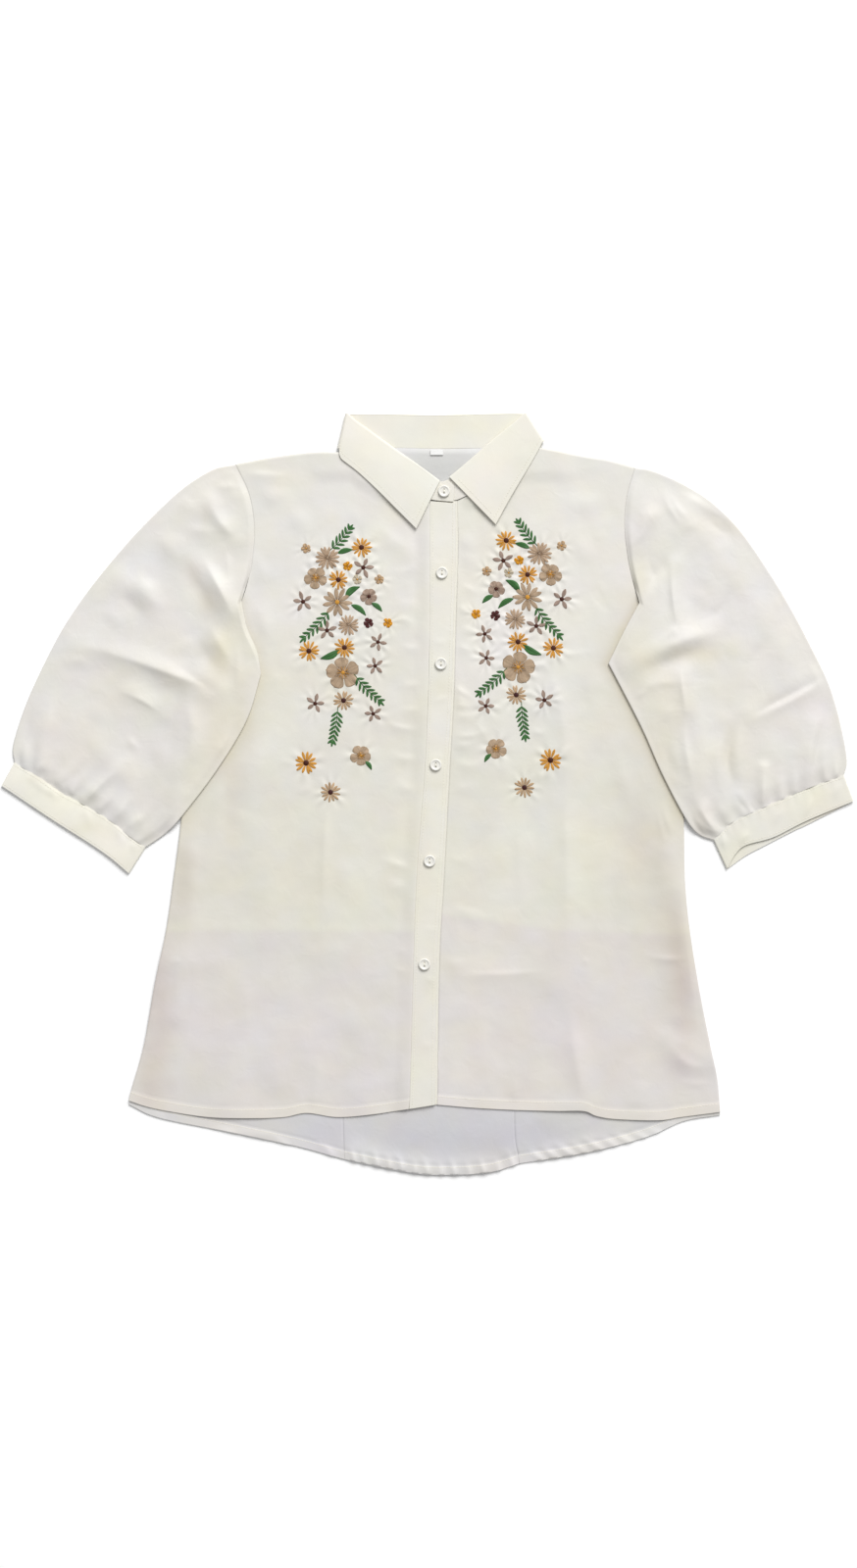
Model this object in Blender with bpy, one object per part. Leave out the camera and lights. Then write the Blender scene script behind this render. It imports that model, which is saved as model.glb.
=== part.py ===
"""Embroidered puff sleeve shirt lying face up on a flat surface: one closed solid for each cut and sewn piece.

X runs across the sleeves, +Y points to the collar, +Z is up. The origin is the middle of the footprint, on the
surface it lies on. Every size in the tables is in millimetres. Left and right are the wearer's.
"""

import math

import bmesh
import bpy
import numpy as np

MM = 0.001

# Walls and the levels that the layers of cloth lie at, as the middle of each wall above the surface.
WALL = 1.0
BACK_LEVEL = 0.5
FRONT_LEVEL = 1.9
PLACKET_LEVEL = 3.5
SLEEVE_ON_BODY_LEVEL = 3.3
LAYER_STEP = 1.4
SEAM_GAP = 0.6
NECK_GAP = 0.7
HEM_DEPTH = 9.5
HEM_EXTRA = 0.3

# The body is lifted beside the collar, where the collar leaf lies under the back.
LIFT = 1.5
LIFT_TOP, LIFT_END = 319.5, 304.0
LIFT_LEFT, LIFT_RIGHT, LIFT_FADE = -93.0, 116.0, 26.0

# The collar turns about a line this high where it passes from the front to the back.
COLLAR_AXIS = 2.7
STAND_TURN = 0.7
LEAF_TURN = 2.2
FOLD_IN = 1.25

BUTTON_RADIUS = 5.7
BUTTON_HEIGHT = 2.1
BUTTON_HOLE = 0.8
BUTTON_HOLE_APART = 3.2
BUTTON_SIDES = 12

CUFF_LOWER, CUFF_UPPER = 0.5, 2.3

# Edges of the body, each as x, y.
SIDE_RIGHT = [(-289, -298), (-286, -286), (-274, -243), (-264, -186), (-253, -134), (-246, -86), (-239, -34),
              (-233, 37), (-224, 104)]
SIDE_LEFT = [(283, -309), (280, -276), (273, -243), (262, -186), (253, -129), (249, -86), (248, -34),
             (246, 37), (241, 104)]
ARMHOLE_RIGHT = [(-224, 104), (-213, 123), (-198, 151), (-180, 186), (-171, 218), (-168, 256), (-173, 289),
                 (-186, 318)]
ARMHOLE_LEFT = [(241, 104), (229, 123), (217, 151), (205, 184), (196, 218), (191, 256), (193, 286), (201, 315)]
SHOULDER_RIGHT = [(-186, 318), (-148, 325), (-110, 329.5), (-79.5, 330)]
SHOULDER_LEFT = [(201, 315), (175, 322), (156, 325), (125, 331), (104, 335.5)]
NECK_RIGHT = [(-79.5, 330), (-76, 321), (-61, 308), (-36, 294.8), (-15, 288), (2, 283.5)]
NECK_LEFT = [(104, 335.5), (99.8, 324.5), (81.7, 309.7), (57, 296.9), (38, 287.9), (28, 283.5)]
NECK_BACK = [(-79.5, 330), (-64, 332.5), (-34, 334.4), (7.6, 333.6), (51, 334), (85.5, 336), (104, 335.5)]
PLACKET_SEAM = [(-18, -306), (-17, -287), (-13, -143), (-10, -73), (-6, -21), (-2, 32), (1, 109), (2, 167), (2, 282)]
PLACKET_EDGE = [(7, -302), (9, -162), (14, -73), (19, 23), (23, 94), (25, 167), (27, 231), (27, 280)]
HEM_FRONT_RIGHT = [(-289, -298), (-271, -304), (-247, -309), (-211, -314), (-171, -315), (-139, -314), (-117, -310),
                   (-87, -314), (-51, -311), (-18, -306)]
HEM_FRONT_LEFT = [(8, -302), (45, -305), (83, -307), (124, -308), (151, -308), (164, -313), (184, -316), (224, -317),
                  (245, -314), (283, -309)]
HEM_BACK_RIGHT = [(-289, -302), (-259, -315), (-184, -330), (-124, -343), (-80, -355)]
HEM_BACK_CENTRE = [(-80, -355), (-15, -368), (23, -370), (62, -367), (89, -359)]
HEM_BACK_LEFT = [(89, -359), (156, -348), (213, -333), (248, -318), (283, -312)]
BACK_SEAM_RIGHT = [(-80, -355), (-82, -317), (-88, -86), (-100, 104), (-124, 328)]
BACK_SEAM_LEFT = [(89, -359), (84, -306), (90, -86), (112, 104), (150, 326)]

# Where each sleeve lies over the body, the edge of the body under it, from the end of the seam that shows down.
UNDER_RIGHT = [(-180, 186), (-198, 151), (-213, 123), (-224, 104), (-233, 37), (-239, -34), (-246, -86)]
UNDER_LEFT = [(205, 184), (217, 151), (229, 123), (241, 104), (246, 37), (248, -34), (249, -86)]
UNDER_FLAT, UNDER_RAMP = 5.0, 12.0

# Each sleeve: its head along the armhole and fold, its outer and under edges, and the seam at its cuff.
SLEEVE_HEAD_RIGHT = [(-186, 318), (-173, 289), (-168, 256), (-171, 218), (-180, 186), (-175, 161), (-165, 137),
                     (-161, 115)]
SLEEVE_HEAD_LEFT = [(201, 315), (193, 286), (191, 256), (196, 218), (205, 184), (190, 156), (175, 125)]
SLEEVE_OUTER_RIGHT = [(-186, 318), (-208, 313), (-238, 294), (-269, 265), (-295, 237), (-326, 199), (-352, 161),
                      (-372, 123), (-389, 85), (-401, 47), (-400, 29)]
SLEEVE_OUTER_LEFT = [(201, 315), (216, 312.5), (240, 303), (272, 284), (301, 256), (328, 218), (351, 180),
                     (371, 142), (389, 104), (400, 66), (406, 32), (403, 17)]
SLEEVE_UNDER_RIGHT = [(-161, 115), (-175, 70), (-203, 23), (-237, -22), (-253, -39), (-273, -53)]
SLEEVE_UNDER_LEFT = [(175, 125), (186, 104), (208, 61), (227, 18), (249, -24), (262, -40), (277, -46)]
CUFF_SEAM_RIGHT = [(-400, 29), (-378, 16), (-352, -2), (-332, -12), (-306, -28), (-290, -41), (-273, -53)]
CUFF_SEAM_LEFT = [(403, 17), (370, 5), (340, -8), (310, -21), (293, -30), (277, -46)]
CUFF_EDGE_RIGHT = [(-412.5, 7), (-363, -26), (-330, -47), (-308, -62), (-289, -78)]
CUFF_EDGE_LEFT = [(412.5, -8), (367, -27), (335, -43), (308, -51), (297, -61), (290, -74)]
CUFF_EDGE_LEFT_UNDER = [(412.5, -8), (367, -31), (356, -36), (325, -52), (308, -61), (290, -74)]

# Folds as ridges: start x, y, end x, y, half width, height at the start, height at the end.
FOLD_COLUMNS = ("x0", "y0", "x1", "y1", "half_width", "height0", "height1")
FRONT_RIGHT_FOLDS = [
    (-229, -60, -247, -215, 12, 1.2, 1.6),
    (-100, -10, -103, -150, 20, 0.8, 1.3),
    (-262, -164, -205, -166, 12, 0.9, 0.6),
    (-150, 60, -160, -90, 20, 0.5, 0.8),
    (-60, -230, -64, -300, 16, 0.2, 1.0),
    (-190, -240, -196, -300, 16, 0.3, 1.1),
]
FRONT_LEFT_FOLDS = [
    (127, 110, 130, -185, 18, 0.9, 1.6),
    (145, -250, 147, -300, 14, 0.9, 1.3),
    (233, -60, 239, -215, 12, 1.1, 1.5),
    (230, -238, 274, -260, 11, 1.5, 0.9),
    (35, -174, 118, -175, 14, 0.6, 0.9),
    (64, 90, 60, -60, 18, 0.5, 0.7),
]
BACK_FOLDS = [
    (-70, -346, -38, -358, 9, 1.2, 1.7),
    (-16, -362, 12, -364, 9, 1.8, 0.9),
    (30, -363, 58, -362, 9, 1.5, 1.9),
    (-205, -322, -160, -330, 9, 0.7, 1.0),
    (120, -348, 168, -339, 9, 1.2, 0.7),
]
SLEEVE_RIGHT_FOLDS = [
    (-343, 145, -205, 99, 13, 1.0, 2.2),
    (-286, 98, -250, 76, 11, 1.6, 0.8),
    (-211, 281, -186, 246, 9, 1.6, 0.8),
    (-240, 235, -192, 176, 13, 1.4, 2.0),
    (-295, 205, -262, 175, 14, 1.5, 0.8),
    (-200, 40, -222, -5, 10, 0.8, 1.5),
    (-330, 60, -300, 20, 12, 0.4, 1.4),
    (-375, 26, -372, 60, 6, 1.9, 0.3),
    (-356, 11, -334, 34, 6, 1.8, 0.4),
    (-332, -6, -292, 32, 6, 2.3, 0.5),
    (-318, -15, -299, 12, 6, 1.6, 0.3),
    (-303, -25, -281, 12, 6, 2.0, 0.3),
    (-288, -38, -262, -6, 6, 1.6, 0.4),
    (-389, 26, -388, 52, 5, 1.4, 0.2),
    (-344, 3, -327, 22, 5, 1.4, 0.2),
    (-279, -46, -258, -20, 5, 1.3, 0.4),
]
SLEEVE_LEFT_FOLDS = [
    (383, 114, 313, 77, 11, 1.6, 0.9),
    (240, 222, 243, 161, 10, 1.4, 1.9),
    (246, 114, 249, 80, 10, 1.2, 1.6),
    (215, 267, 193, 228, 9, 1.5, 0.9),
    (194, 123, 260, 151, 12, 1.9, 0.8),
    (290, 66, 291, 0, 12, 1.3, 1.9),
    (374, 66, 365, 9, 10, 1.1, 1.9),
    (262, 290, 240, 255, 10, 1.3, 0.6),
    (325, 24, 325, -12, 6, 1.7, 2.1),
    (302, -4, 307, -19, 6, 1.0, 2.0),
    (257, 0, 279, -41, 6, 0.6, 2.0),
    (371, 43, 370, 8, 6, 0.6, 1.9),
    (341, 20, 342, -5, 5, 0.4, 1.6),
    (354, 26, 355, 2, 5, 0.3, 1.5),
    (385, 40, 386, 13, 5, 0.3, 1.6),
    (286, 2, 293, -28, 5, 0.4, 1.6),
    (395, 40, 396, 17, 5, 0.2, 1.2),
]
SLEEVE_MOST_RELIEF = 2.9
BODY_MOST_RELIEF = 2.2

# Sections of the collar, from the end of the stand that laps over, round the back of the neck, to the other end.
# The fold, the neck seam and the edge of the leaf as x, y, the turn in degrees from face up, and the stand's lift.
COLLAR_COLUMNS = ("fold_x", "fold_y", "neck_x", "neck_y", "edge_x", "edge_y", "turn", "stand_lift")
COLLAR = [
    (26.0, 299.0, 25.0, 282.0, 0, 0, 0, 0.2),
    (20.0, 303.5, 17.0, 282.6, 0, 0, 0, 0.2),
    (12.0, 302.5, 8.0, 283.4, -11.0, 256.0, 0, 0.2),
    (-11.4, 319.5, -15.0, 288.0, -30.0, 275.0, 0, 0),
    (-34.0, 335.2, -36.0, 294.8, -49.0, 294.0, 0, 0),
    (-57.0, 352.0, -61.0, 308.0, -68.0, 311.5, 0, 0),
    (-71.0, 362.0, -76.0, 321.0, -84.0, 324.5, 0, 0),
    (-76.6, 367.6, -79.7, 331.4, -85.3, 328.8, 0, 0),
    (-76.6, 367.6, -79.7, 331.9, -84.6, 333.4, 30, 0),
    (-76.6, 367.6, -79.7, 331.9, -84.6, 333.4, 60, 0),
    (-76.6, 367.6, -79.7, 331.9, -84.6, 333.4, 90, 0),
    (-76.6, 367.6, -79.7, 331.9, -84.6, 333.4, 120, 0),
    (-76.6, 367.6, -79.7, 331.9, -84.6, 333.4, 150, 0),
    (-76.6, 367.6, -79.7, 331.9, -84.6, 329.0, 180, 0),
    (-66.5, 367.4, -64.6, 332.5, -70.0, 325.0, 180, 0),
    (-34.0, 367.2, -34.0, 334.4, -38.0, 322.5, 180, 0),
    (7.6, 366.4, 7.6, 333.6, 9.5, 321.5, 180, 0),
    (49.4, 367.4, 51.0, 334.0, 59.0, 322.5, 180, 0),
    (81.7, 368.0, 85.5, 336.0, 93.0, 327.8, 180, 0),
    (93.7, 367.6, 103.6, 337.2, 110.0, 334.5, 180, 0),
    (93.7, 367.6, 103.6, 337.4, 110.7, 339.8, 150, 0),
    (93.7, 367.6, 103.6, 337.4, 110.7, 339.8, 120, 0),
    (93.7, 367.6, 103.6, 337.4, 110.7, 339.8, 90, 0),
    (93.7, 367.6, 103.6, 337.4, 110.7, 339.8, 60, 0),
    (93.7, 367.6, 103.6, 337.4, 110.7, 339.8, 30, 0),
    (93.7, 367.6, 103.4, 336.4, 109.5, 336.5, 0, 0),
    (87.4, 361.8, 99.8, 324.5, 105.0, 328.0, 0, 0),
    (74.0, 350.9, 81.7, 309.7, 96.0, 312.5, 0, 0),
    (58.0, 337.6, 57.0, 296.9, 86.0, 296.0, 0, 0),
    (40.0, 321.8, 38.0, 287.9, 76.5, 279.5, 0, 0),
    (21.0, 306.0, 25.0, 283.4, 66.0, 260.0, 0, -0.9),
    (11.0, 300.0, 11.0, 283.6, 0, 0, 0, -1.4),
]
LEAF_FIRST, LEAF_LAST = 2, 30

# Buttons down the placket, the first on the stand: x, y.
BUTTONS = [(16, 292), (14, 213), (13, 125), (8, 27), (2, -66), (-3, -166)]

LABEL_CENTRE = (9.0, 329.6)
LABEL_SIZE = (12.0, 5.0)

# Base colour and roughness of each cloth.
IVORY = (0.82, 0.80, 0.74)
CREAM = (0.84, 0.81, 0.72)
SLEEVE_IVORY = (0.83, 0.80, 0.75)
BACK_IVORY = (0.78, 0.77, 0.74)
PEARL = (0.88, 0.87, 0.84)


def smooth_step(value):
    value = np.clip(value, 0.0, 1.0)
    return value * value * (3.0 - 2.0 * value)


def curve(points, fractions):
    """Points at these fractions of the length of a smooth curve through the given points."""
    points = np.asarray(points, float)
    ends = np.vstack([2 * points[0] - points[1], points, 2 * points[-1] - points[-2]])
    fine = []
    for i in range(1, len(ends) - 2):
        p0, p1, p2, p3 = ends[i - 1], ends[i], ends[i + 1], ends[i + 2]
        for step in range(12):
            t = step / 12.0
            fine.append(
                0.5 * (2 * p1 + (p2 - p0) * t + (2 * p0 - 5 * p1 + 4 * p2 - p3) * t * t
                       + (3 * p1 - p0 - 3 * p2 + p3) * t ** 3)
            )
    fine.append(points[-1])
    fine = np.array(fine)
    lengths = np.concatenate([[0.0], np.cumsum(np.linalg.norm(np.diff(fine, axis=0), axis=1))])
    want = np.asarray(fractions) * lengths[-1]
    return np.stack([np.interp(want, lengths, fine[:, k]) for k in range(2)], axis=1)


def chain(*pieces):
    """Several curves joined end to end, each given as its points and the fractions to place points at."""
    rows = []
    for points, fractions in pieces:
        placed = curve(points, fractions)
        rows.append(placed if not rows else placed[1:])
    return np.vstack(rows)


def steps(cells):
    return np.linspace(0.0, 1.0, cells + 1)


def moved(points, x, y):
    return [(px + x, py + y) for px, py in points]


def patch(left, right, bottom, top):
    """A grid of points filled in between four edges, which share their corners."""
    rows, columns = len(left), len(bottom)
    v = np.concatenate([[0.0], np.cumsum(np.linalg.norm(np.diff(left, axis=0), axis=1))])
    w = np.concatenate([[0.0], np.cumsum(np.linalg.norm(np.diff(right, axis=0), axis=1))])
    u = np.concatenate([[0.0], np.cumsum(np.linalg.norm(np.diff(bottom, axis=0), axis=1))])
    q = np.concatenate([[0.0], np.cumsum(np.linalg.norm(np.diff(top, axis=0), axis=1))])
    v, w, u, q = v / v[-1], w / w[-1], u / u[-1], q / q[-1]
    grid = np.zeros((rows, columns, 2))
    for j in range(rows):
        for i in range(columns):
            high = 0.5 * (v[j] + w[j])
            across = (1 - high) * u[i] + high * q[i]
            high = (1 - across) * v[j] + across * w[j]
            sides = (1 - across) * left[j] + across * right[j]
            ends = (1 - high) * bottom[i] + high * top[i]
            corners = ((1 - across) * (1 - high) * bottom[0] + across * (1 - high) * bottom[-1]
                       + (1 - across) * high * top[0] + across * high * top[-1])
            grid[j, i] = sides + ends - corners
    grid[:, 0], grid[:, -1] = left, right
    grid[0], grid[-1] = bottom, top
    return grid


def distance_to(points, line, outer_side):
    """Distance from a line, negative on its inner side. Beyond its first end it counts as outside."""
    points = np.asarray(points, float)
    line = np.asarray(line, float)
    best = np.full(points.shape[:-1], 1e9)
    signed = np.zeros(points.shape[:-1])
    for number, (start, end) in enumerate(zip(line[:-1], line[1:])):
        along = end - start
        length = np.dot(along, along)
        t = ((points - start) @ along) / length
        offset = points - start - np.clip(t, 0, 1)[..., None] * along
        near = np.linalg.norm(offset, axis=-1)
        side = np.sign(along[0] * (points - start)[..., 1] - along[1] * (points - start)[..., 0]) * outer_side
        if number == 0:
            side = np.where(t < 0, 1.0, side)
        closer = near < best
        signed = np.where(closer, near * side, signed)
        best = np.where(closer, near, best)
    return signed


def relief(points, folds, most):
    """Height that the folds add at each point."""
    total = np.zeros(points.shape[:-1])
    for x0, y0, x1, y1, half_width, height0, height1 in folds:
        start, along = np.array([x0, y0]), np.array([x1 - x0, y1 - y0])
        t = np.clip(((points - start) @ along) / np.dot(along, along), 0, 1)
        away = np.linalg.norm(points - start - t[..., None] * along, axis=-1)
        total = total + (height0 + (height1 - height0) * t) * np.exp(-(away / half_width) ** 2)
    return most * np.tanh(total / most)


def lifted(points, wider=0.0):
    """Height that the body gains beside the collar."""
    x, y = points[..., 0], points[..., 1] + wider
    down = smooth_step((y - LIFT_END) / (LIFT_TOP - LIFT_END))
    out = smooth_step(1 - (np.maximum(LIFT_LEFT - x, x - LIFT_RIGHT) - wider) / LIFT_FADE)
    return LIFT * down * out


def principled(name, colour, roughness):
    material = bpy.data.materials.new(name)
    material.use_nodes = True
    shader = material.node_tree.nodes["Principled BSDF"]
    shader.inputs["Base Color"].default_value = (*colour, 1.0)
    shader.inputs["Roughness"].default_value = roughness
    shader.inputs["Metallic"].default_value = 0.0
    return material


def add_body(name, points, faces, colour, roughness):
    """One closed mesh facing out, from points in millimetres and triangles."""
    points = np.asarray(points, float) * MM
    faces = np.asarray(faces, int)
    corners = points[faces]
    volume = np.einsum("ij,ij->i", corners[:, 0], np.cross(corners[:, 1], corners[:, 2])).sum()
    if volume < 0:
        faces = faces[:, ::-1]
    mesh = bpy.data.meshes.new(name)
    mesh.from_pydata(points.tolist(), [], faces.tolist())
    mesh.polygons.foreach_set("use_smooth", [True] * len(mesh.polygons))
    mesh.update()
    item = bpy.data.objects.new(name, mesh)
    item.data.materials.append(principled(name, colour, roughness))
    bpy.context.scene.collection.objects.link(item)
    return item


def sheet(name, top, bottom, colour, roughness=0.85):
    """A closed solid between two grids of points, with a rim all round."""
    rows, columns = top.shape[:2]
    points = np.vstack([top.reshape(-1, 3), bottom.reshape(-1, 3)])
    under = rows * columns
    faces = []
    for j in range(rows - 1):
        for i in range(columns - 1):
            a, b = j * columns + i, j * columns + i + 1
            c, d = b + columns, a + columns
            faces += [(a, b, c), (a, c, d), (a + under, c + under, b + under), (a + under, d + under, c + under)]
    loop = [(0, i) for i in range(columns)] + [(j, columns - 1) for j in range(1, rows)]
    loop += [(rows - 1, i) for i in range(columns - 2, -1, -1)] + [(j, 0) for j in range(rows - 2, 0, -1)]
    edge = [j * columns + i for j, i in loop]
    for a, b in zip(edge, edge[1:] + edge[:1]):
        faces += [(b, a, a + under), (b, a + under, b + under)]
    return add_body(name, points, faces, colour, roughness)


def tube(name, outer, inner, colour, roughness=0.85):
    """A closed solid between two sets of rings, open at both ends of the tube."""
    rings, round_count = outer.shape[:2]
    points = np.vstack([outer.reshape(-1, 3), inner.reshape(-1, 3)])
    under = rings * round_count
    faces = []
    for j in range(rings - 1):
        for i in range(round_count):
            k = (i + 1) % round_count
            a, b = j * round_count + i, j * round_count + k
            c, d = b + round_count, a + round_count
            faces += [(a, b, c), (a, c, d), (a + under, c + under, b + under), (a + under, d + under, c + under)]
    for i in range(round_count):
        k = (i + 1) % round_count
        a, b = i, k
        faces += [(b, a, a + under), (b, a + under, b + under)]
        a, b = (rings - 1) * round_count + i, (rings - 1) * round_count + k
        faces += [(a, b, b + under), (a, b + under, a + under)]
    return add_body(name, points, faces, colour, roughness)


def panel(name, grid, level, colour, hem_rows=0):
    """A flat panel: its wall stands half above and half below the level, with a thicker wall in the hem."""
    extra = np.zeros(grid.shape[:2])
    extra[:hem_rows] = HEM_EXTRA
    top = np.concatenate([grid, (level + WALL / 2 + extra)[..., None]], axis=-1)
    bottom = np.concatenate([grid, (level - WALL / 2)[..., None]], axis=-1)
    return sheet(name, top, bottom, colour)


SIDE_STEPS = np.array([0, 0.024, 0.09, 0.17, 0.26, 0.35, 0.44, 0.53, 0.62, 0.71, 0.80, 0.90, 1.0])
ARM_STEPS = steps(14)


def split_at(points, y):
    """The same points cut in two at a height."""
    points = [tuple(p) for p in points]
    for k in range(len(points) - 1):
        (x0, y0), (x1, y1) = points[k], points[k + 1]
        if y0 <= y <= y1:
            t = (y - y0) / (y1 - y0)
            middle = (x0 + t * (x1 - x0), y)
            return points[:k + 1] + [middle], [middle] + points[k + 1:]
    return points, points


def body_panels():
    lower, upper = split_at(PLACKET_SEAM, 110)
    seam = chain((lower, SIDE_STEPS), (upper, ARM_STEPS))
    outer = chain((SIDE_RIGHT, SIDE_STEPS), (ARMHOLE_RIGHT, ARM_STEPS))
    outer[len(SIDE_STEPS):, 0] += SEAM_GAP
    seam[:, 0] -= 0.2
    seam[-1] = (1.4, 282.6)
    neck = moved(NECK_RIGHT, -NECK_GAP * 0.6, -NECK_GAP)
    shoulder = [tuple(outer[-1])] + SHOULDER_RIGHT[1:-1] + [neck[0]]
    top = chain((shoulder, steps(6)), (neck[:-1] + [(1.4, 282.6)], steps(8)))
    bottom = curve([tuple(outer[0])] + HEM_FRONT_RIGHT[1:-1] + [tuple(seam[0])], steps(14))
    grid = patch(outer, seam, bottom, top)
    sleeve_clear = smooth_step((sleeve_distance(grid, "right") - 4) / 14)
    rise = (PLACKET_LEVEL - FRONT_LEVEL) * smooth_step(1 - (distance_plain(grid, PLACKET_SEAM) - 1) / 15)
    rise = np.maximum(rise, LIFT * smooth_step(1 - (distance_plain(grid, NECK_RIGHT[1:]) - 3) / 14))
    height = FRONT_LEVEL + np.maximum(lifted(grid, 6.0), rise)
    height = height + relief(grid, FRONT_RIGHT_FOLDS, BODY_MOST_RELIEF) * sleeve_clear
    panel("front_right", grid, height, IVORY, 2)

    stand_line = moved(PLACKET_EDGE, 2.5, 0)
    stand_line[-1] = (29.0, 282.8)
    lower, upper = split_at(stand_line, 110)
    inner = chain((lower, SIDE_STEPS), (upper, ARM_STEPS))
    inner[:, 0] += 0.2
    outer = chain((SIDE_LEFT, SIDE_STEPS), (ARMHOLE_LEFT, ARM_STEPS))
    outer[len(SIDE_STEPS):, 0] -= SEAM_GAP
    neck = moved(NECK_LEFT, NECK_GAP * 0.6, -NECK_GAP)[:-1]
    shoulder = [tuple(outer[-1])] + SHOULDER_LEFT[1:-1] + [neck[0]]
    top = chain((shoulder, steps(6)), (neck + [tuple(inner[-1])], steps(8)))[::-1]
    bottom = curve([tuple(inner[0])] + HEM_FRONT_LEFT[1:-1] + [tuple(outer[0])], steps(14))
    grid = patch(inner, outer, bottom, top)
    sleeve_clear = smooth_step((sleeve_distance(grid, "left") - 4) / 14)
    rise = LIFT * smooth_step(1 - (distance_plain(grid, NECK_LEFT[:-1]) - 3) / 14) * smooth_step((grid[..., 0] - 30) / 14)
    height = FRONT_LEVEL + np.maximum(lifted(grid, 6.0), rise)
    height = height + relief(grid, FRONT_LEFT_FOLDS, BODY_MOST_RELIEF) * sleeve_clear
    panel("front_left", grid, height, IVORY, 2)

    left_line = moved(PLACKET_SEAM, 3.0, 0)
    right_line = [(x - 0.4, y) for x, y in stand_line]
    rows = steps(22)
    grid = patch(curve(left_line, rows), curve(right_line, rows),
                 curve([left_line[0], right_line[0]], steps(2)), curve([left_line[-1], right_line[-1]], steps(2)))
    panel("button_stand", grid, np.full(grid.shape[:2], FRONT_LEVEL), CREAM)

    rows = steps(24)
    left_line = moved(PLACKET_SEAM, 0.3, 0)
    left_line[-1] = (2.3, 282.2)
    right_line = PLACKET_EDGE
    grid = patch(curve(left_line, rows), curve(right_line, rows),
                 curve([left_line[0], right_line[0]], steps(4)), curve([left_line[-1], right_line[-1]], steps(4)))
    panel("placket", grid, np.full(grid.shape[:2], PLACKET_LEVEL), CREAM)

    back_rows = np.array([0, 0.018, 0.036, 0.06, 0.10, 0.16, 0.24, 0.33, 0.42, 0.51, 0.61, 0.73, 0.84, 0.92, 0.955, 0.98, 1.0])
    side_rows = np.array([0, 0.018, 0.036, 0.06, 0.10, 0.18, 0.28, 0.40, 0.52, 0.64, 0.76, 0.88, 1.0])
    arm_rows = steps(14)
    for name, side, armhole, shoulder, seam, hem, outward in (
        ("back_side_right", SIDE_RIGHT, ARMHOLE_RIGHT, SHOULDER_RIGHT, BACK_SEAM_RIGHT, HEM_BACK_RIGHT, -1),
        ("back_side_left", SIDE_LEFT, ARMHOLE_LEFT, SHOULDER_LEFT, BACK_SEAM_LEFT, HEM_BACK_LEFT[::-1], 1),
    ):
        outer = chain(([hem[0]] + list(side[1:]), side_rows), (armhole, arm_rows))
        outer[len(side_rows):, 0] -= outward * SEAM_GAP
        lower, upper = split_at(seam, 110)
        inner = chain((lower, side_rows), (upper, arm_rows))
        inner[:, 0] += outward * 0.2
        shoulder_part = [tuple(outer[-1])] + [p for p in shoulder[1:-1] if abs(p[0]) > abs(inner[-1][0]) + 8]
        top = curve(shoulder_part + [tuple(inner[-1])], steps(6))
        bottom = curve([tuple(outer[0])] + hem[1:-1] + [tuple(inner[0])], steps(6))
        grid = patch(outer, inner, bottom, top)
        height = BACK_LEVEL + lifted(grid) + hem_curl(grid)
        panel(name, grid, height, BACK_IVORY, 2)

    left_line = moved(BACK_SEAM_RIGHT, 0.2, 0)
    right_line = moved(BACK_SEAM_LEFT, -0.2, 0)
    left_edge, right_edge = curve(left_line, back_rows), curve(right_line, back_rows)
    neck = moved(NECK_BACK, 0, -SEAM_GAP)
    top = chain(([tuple(left_edge[-1]), neck[0]], steps(2)), (neck, steps(9)), ([neck[-1], tuple(right_edge[-1])], steps(2)))
    bottom = curve([tuple(left_edge[0])] + HEM_BACK_CENTRE[1:-1] + [tuple(right_edge[0])], steps(13))
    grid = patch(left_edge, right_edge, bottom, top)
    height = BACK_LEVEL + lifted(grid) + hem_curl(grid)
    panel("back_centre", grid, height, BACK_IVORY, 2)


def hem_curl(grid):
    """The back hem stands up in soft waves where it shows below the front."""
    clear = smooth_step((-321 - grid[..., 1]) / 12)
    return relief(grid, BACK_FOLDS, BODY_MOST_RELIEF) * clear


def distance_plain(points, line):
    return np.abs(distance_to(points, line, 1))


def sleeve_distance(points, hand):
    """How far each point is from the sleeve that lies over the body, negative under it."""
    if hand == "right":
        line = SLEEVE_HEAD_RIGHT[4:] + SLEEVE_UNDER_RIGHT[1:]
        return distance_to(points, line, 1)
    line = SLEEVE_HEAD_LEFT[4:] + SLEEVE_UNDER_LEFT[1:]
    return distance_to(points, line, -1)


def ring_pair(lower_plan, upper_plan, lower_level, upper_level, wall):
    """One flattened ring: across the lower layer, round the far edge, back across the upper layer and round."""
    half = wall / 2
    outer, inner = [], []
    turns = (-60, -20, 20, 60)

    def along(plan, level, sign):
        for point, height in zip(plan, level):
            outer.append((*point, height + sign * half))
            inner.append((*point, height - sign * half))

    def round_edge(point, toward, low, high, rising):
        centre, radius = (low + high) / 2, (high - low) / 2
        for turn in turns if rising else turns[::-1]:
            angle = math.radians(turn)
            for ring, size in ((outer, radius + half), (inner, radius - half)):
                reach = size * math.cos(angle)
                ring.append((point[0] + toward[0] * reach, point[1] + toward[1] * reach,
                             centre + size * math.sin(angle)))

    far = lower_plan[-1] - lower_plan[-2]
    near = lower_plan[0] - lower_plan[1]
    far, near = far / np.linalg.norm(far), near / np.linalg.norm(near)
    along(lower_plan, lower_level, -1)
    round_edge(lower_plan[-1], far, lower_level[-1], upper_level[-1], True)
    along(upper_plan[::-1], upper_level[::-1], 1)
    round_edge(lower_plan[0], near, lower_level[0], upper_level[0], False)
    return outer, inner


def inset(plan, amount):
    plan = plan.copy()
    near, far = plan[1] - plan[0], plan[-2] - plan[-1]
    plan[0] = plan[0] + near / np.linalg.norm(near) * amount
    plan[-1] = plan[-1] + far / np.linalg.norm(far) * amount
    return plan


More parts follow.
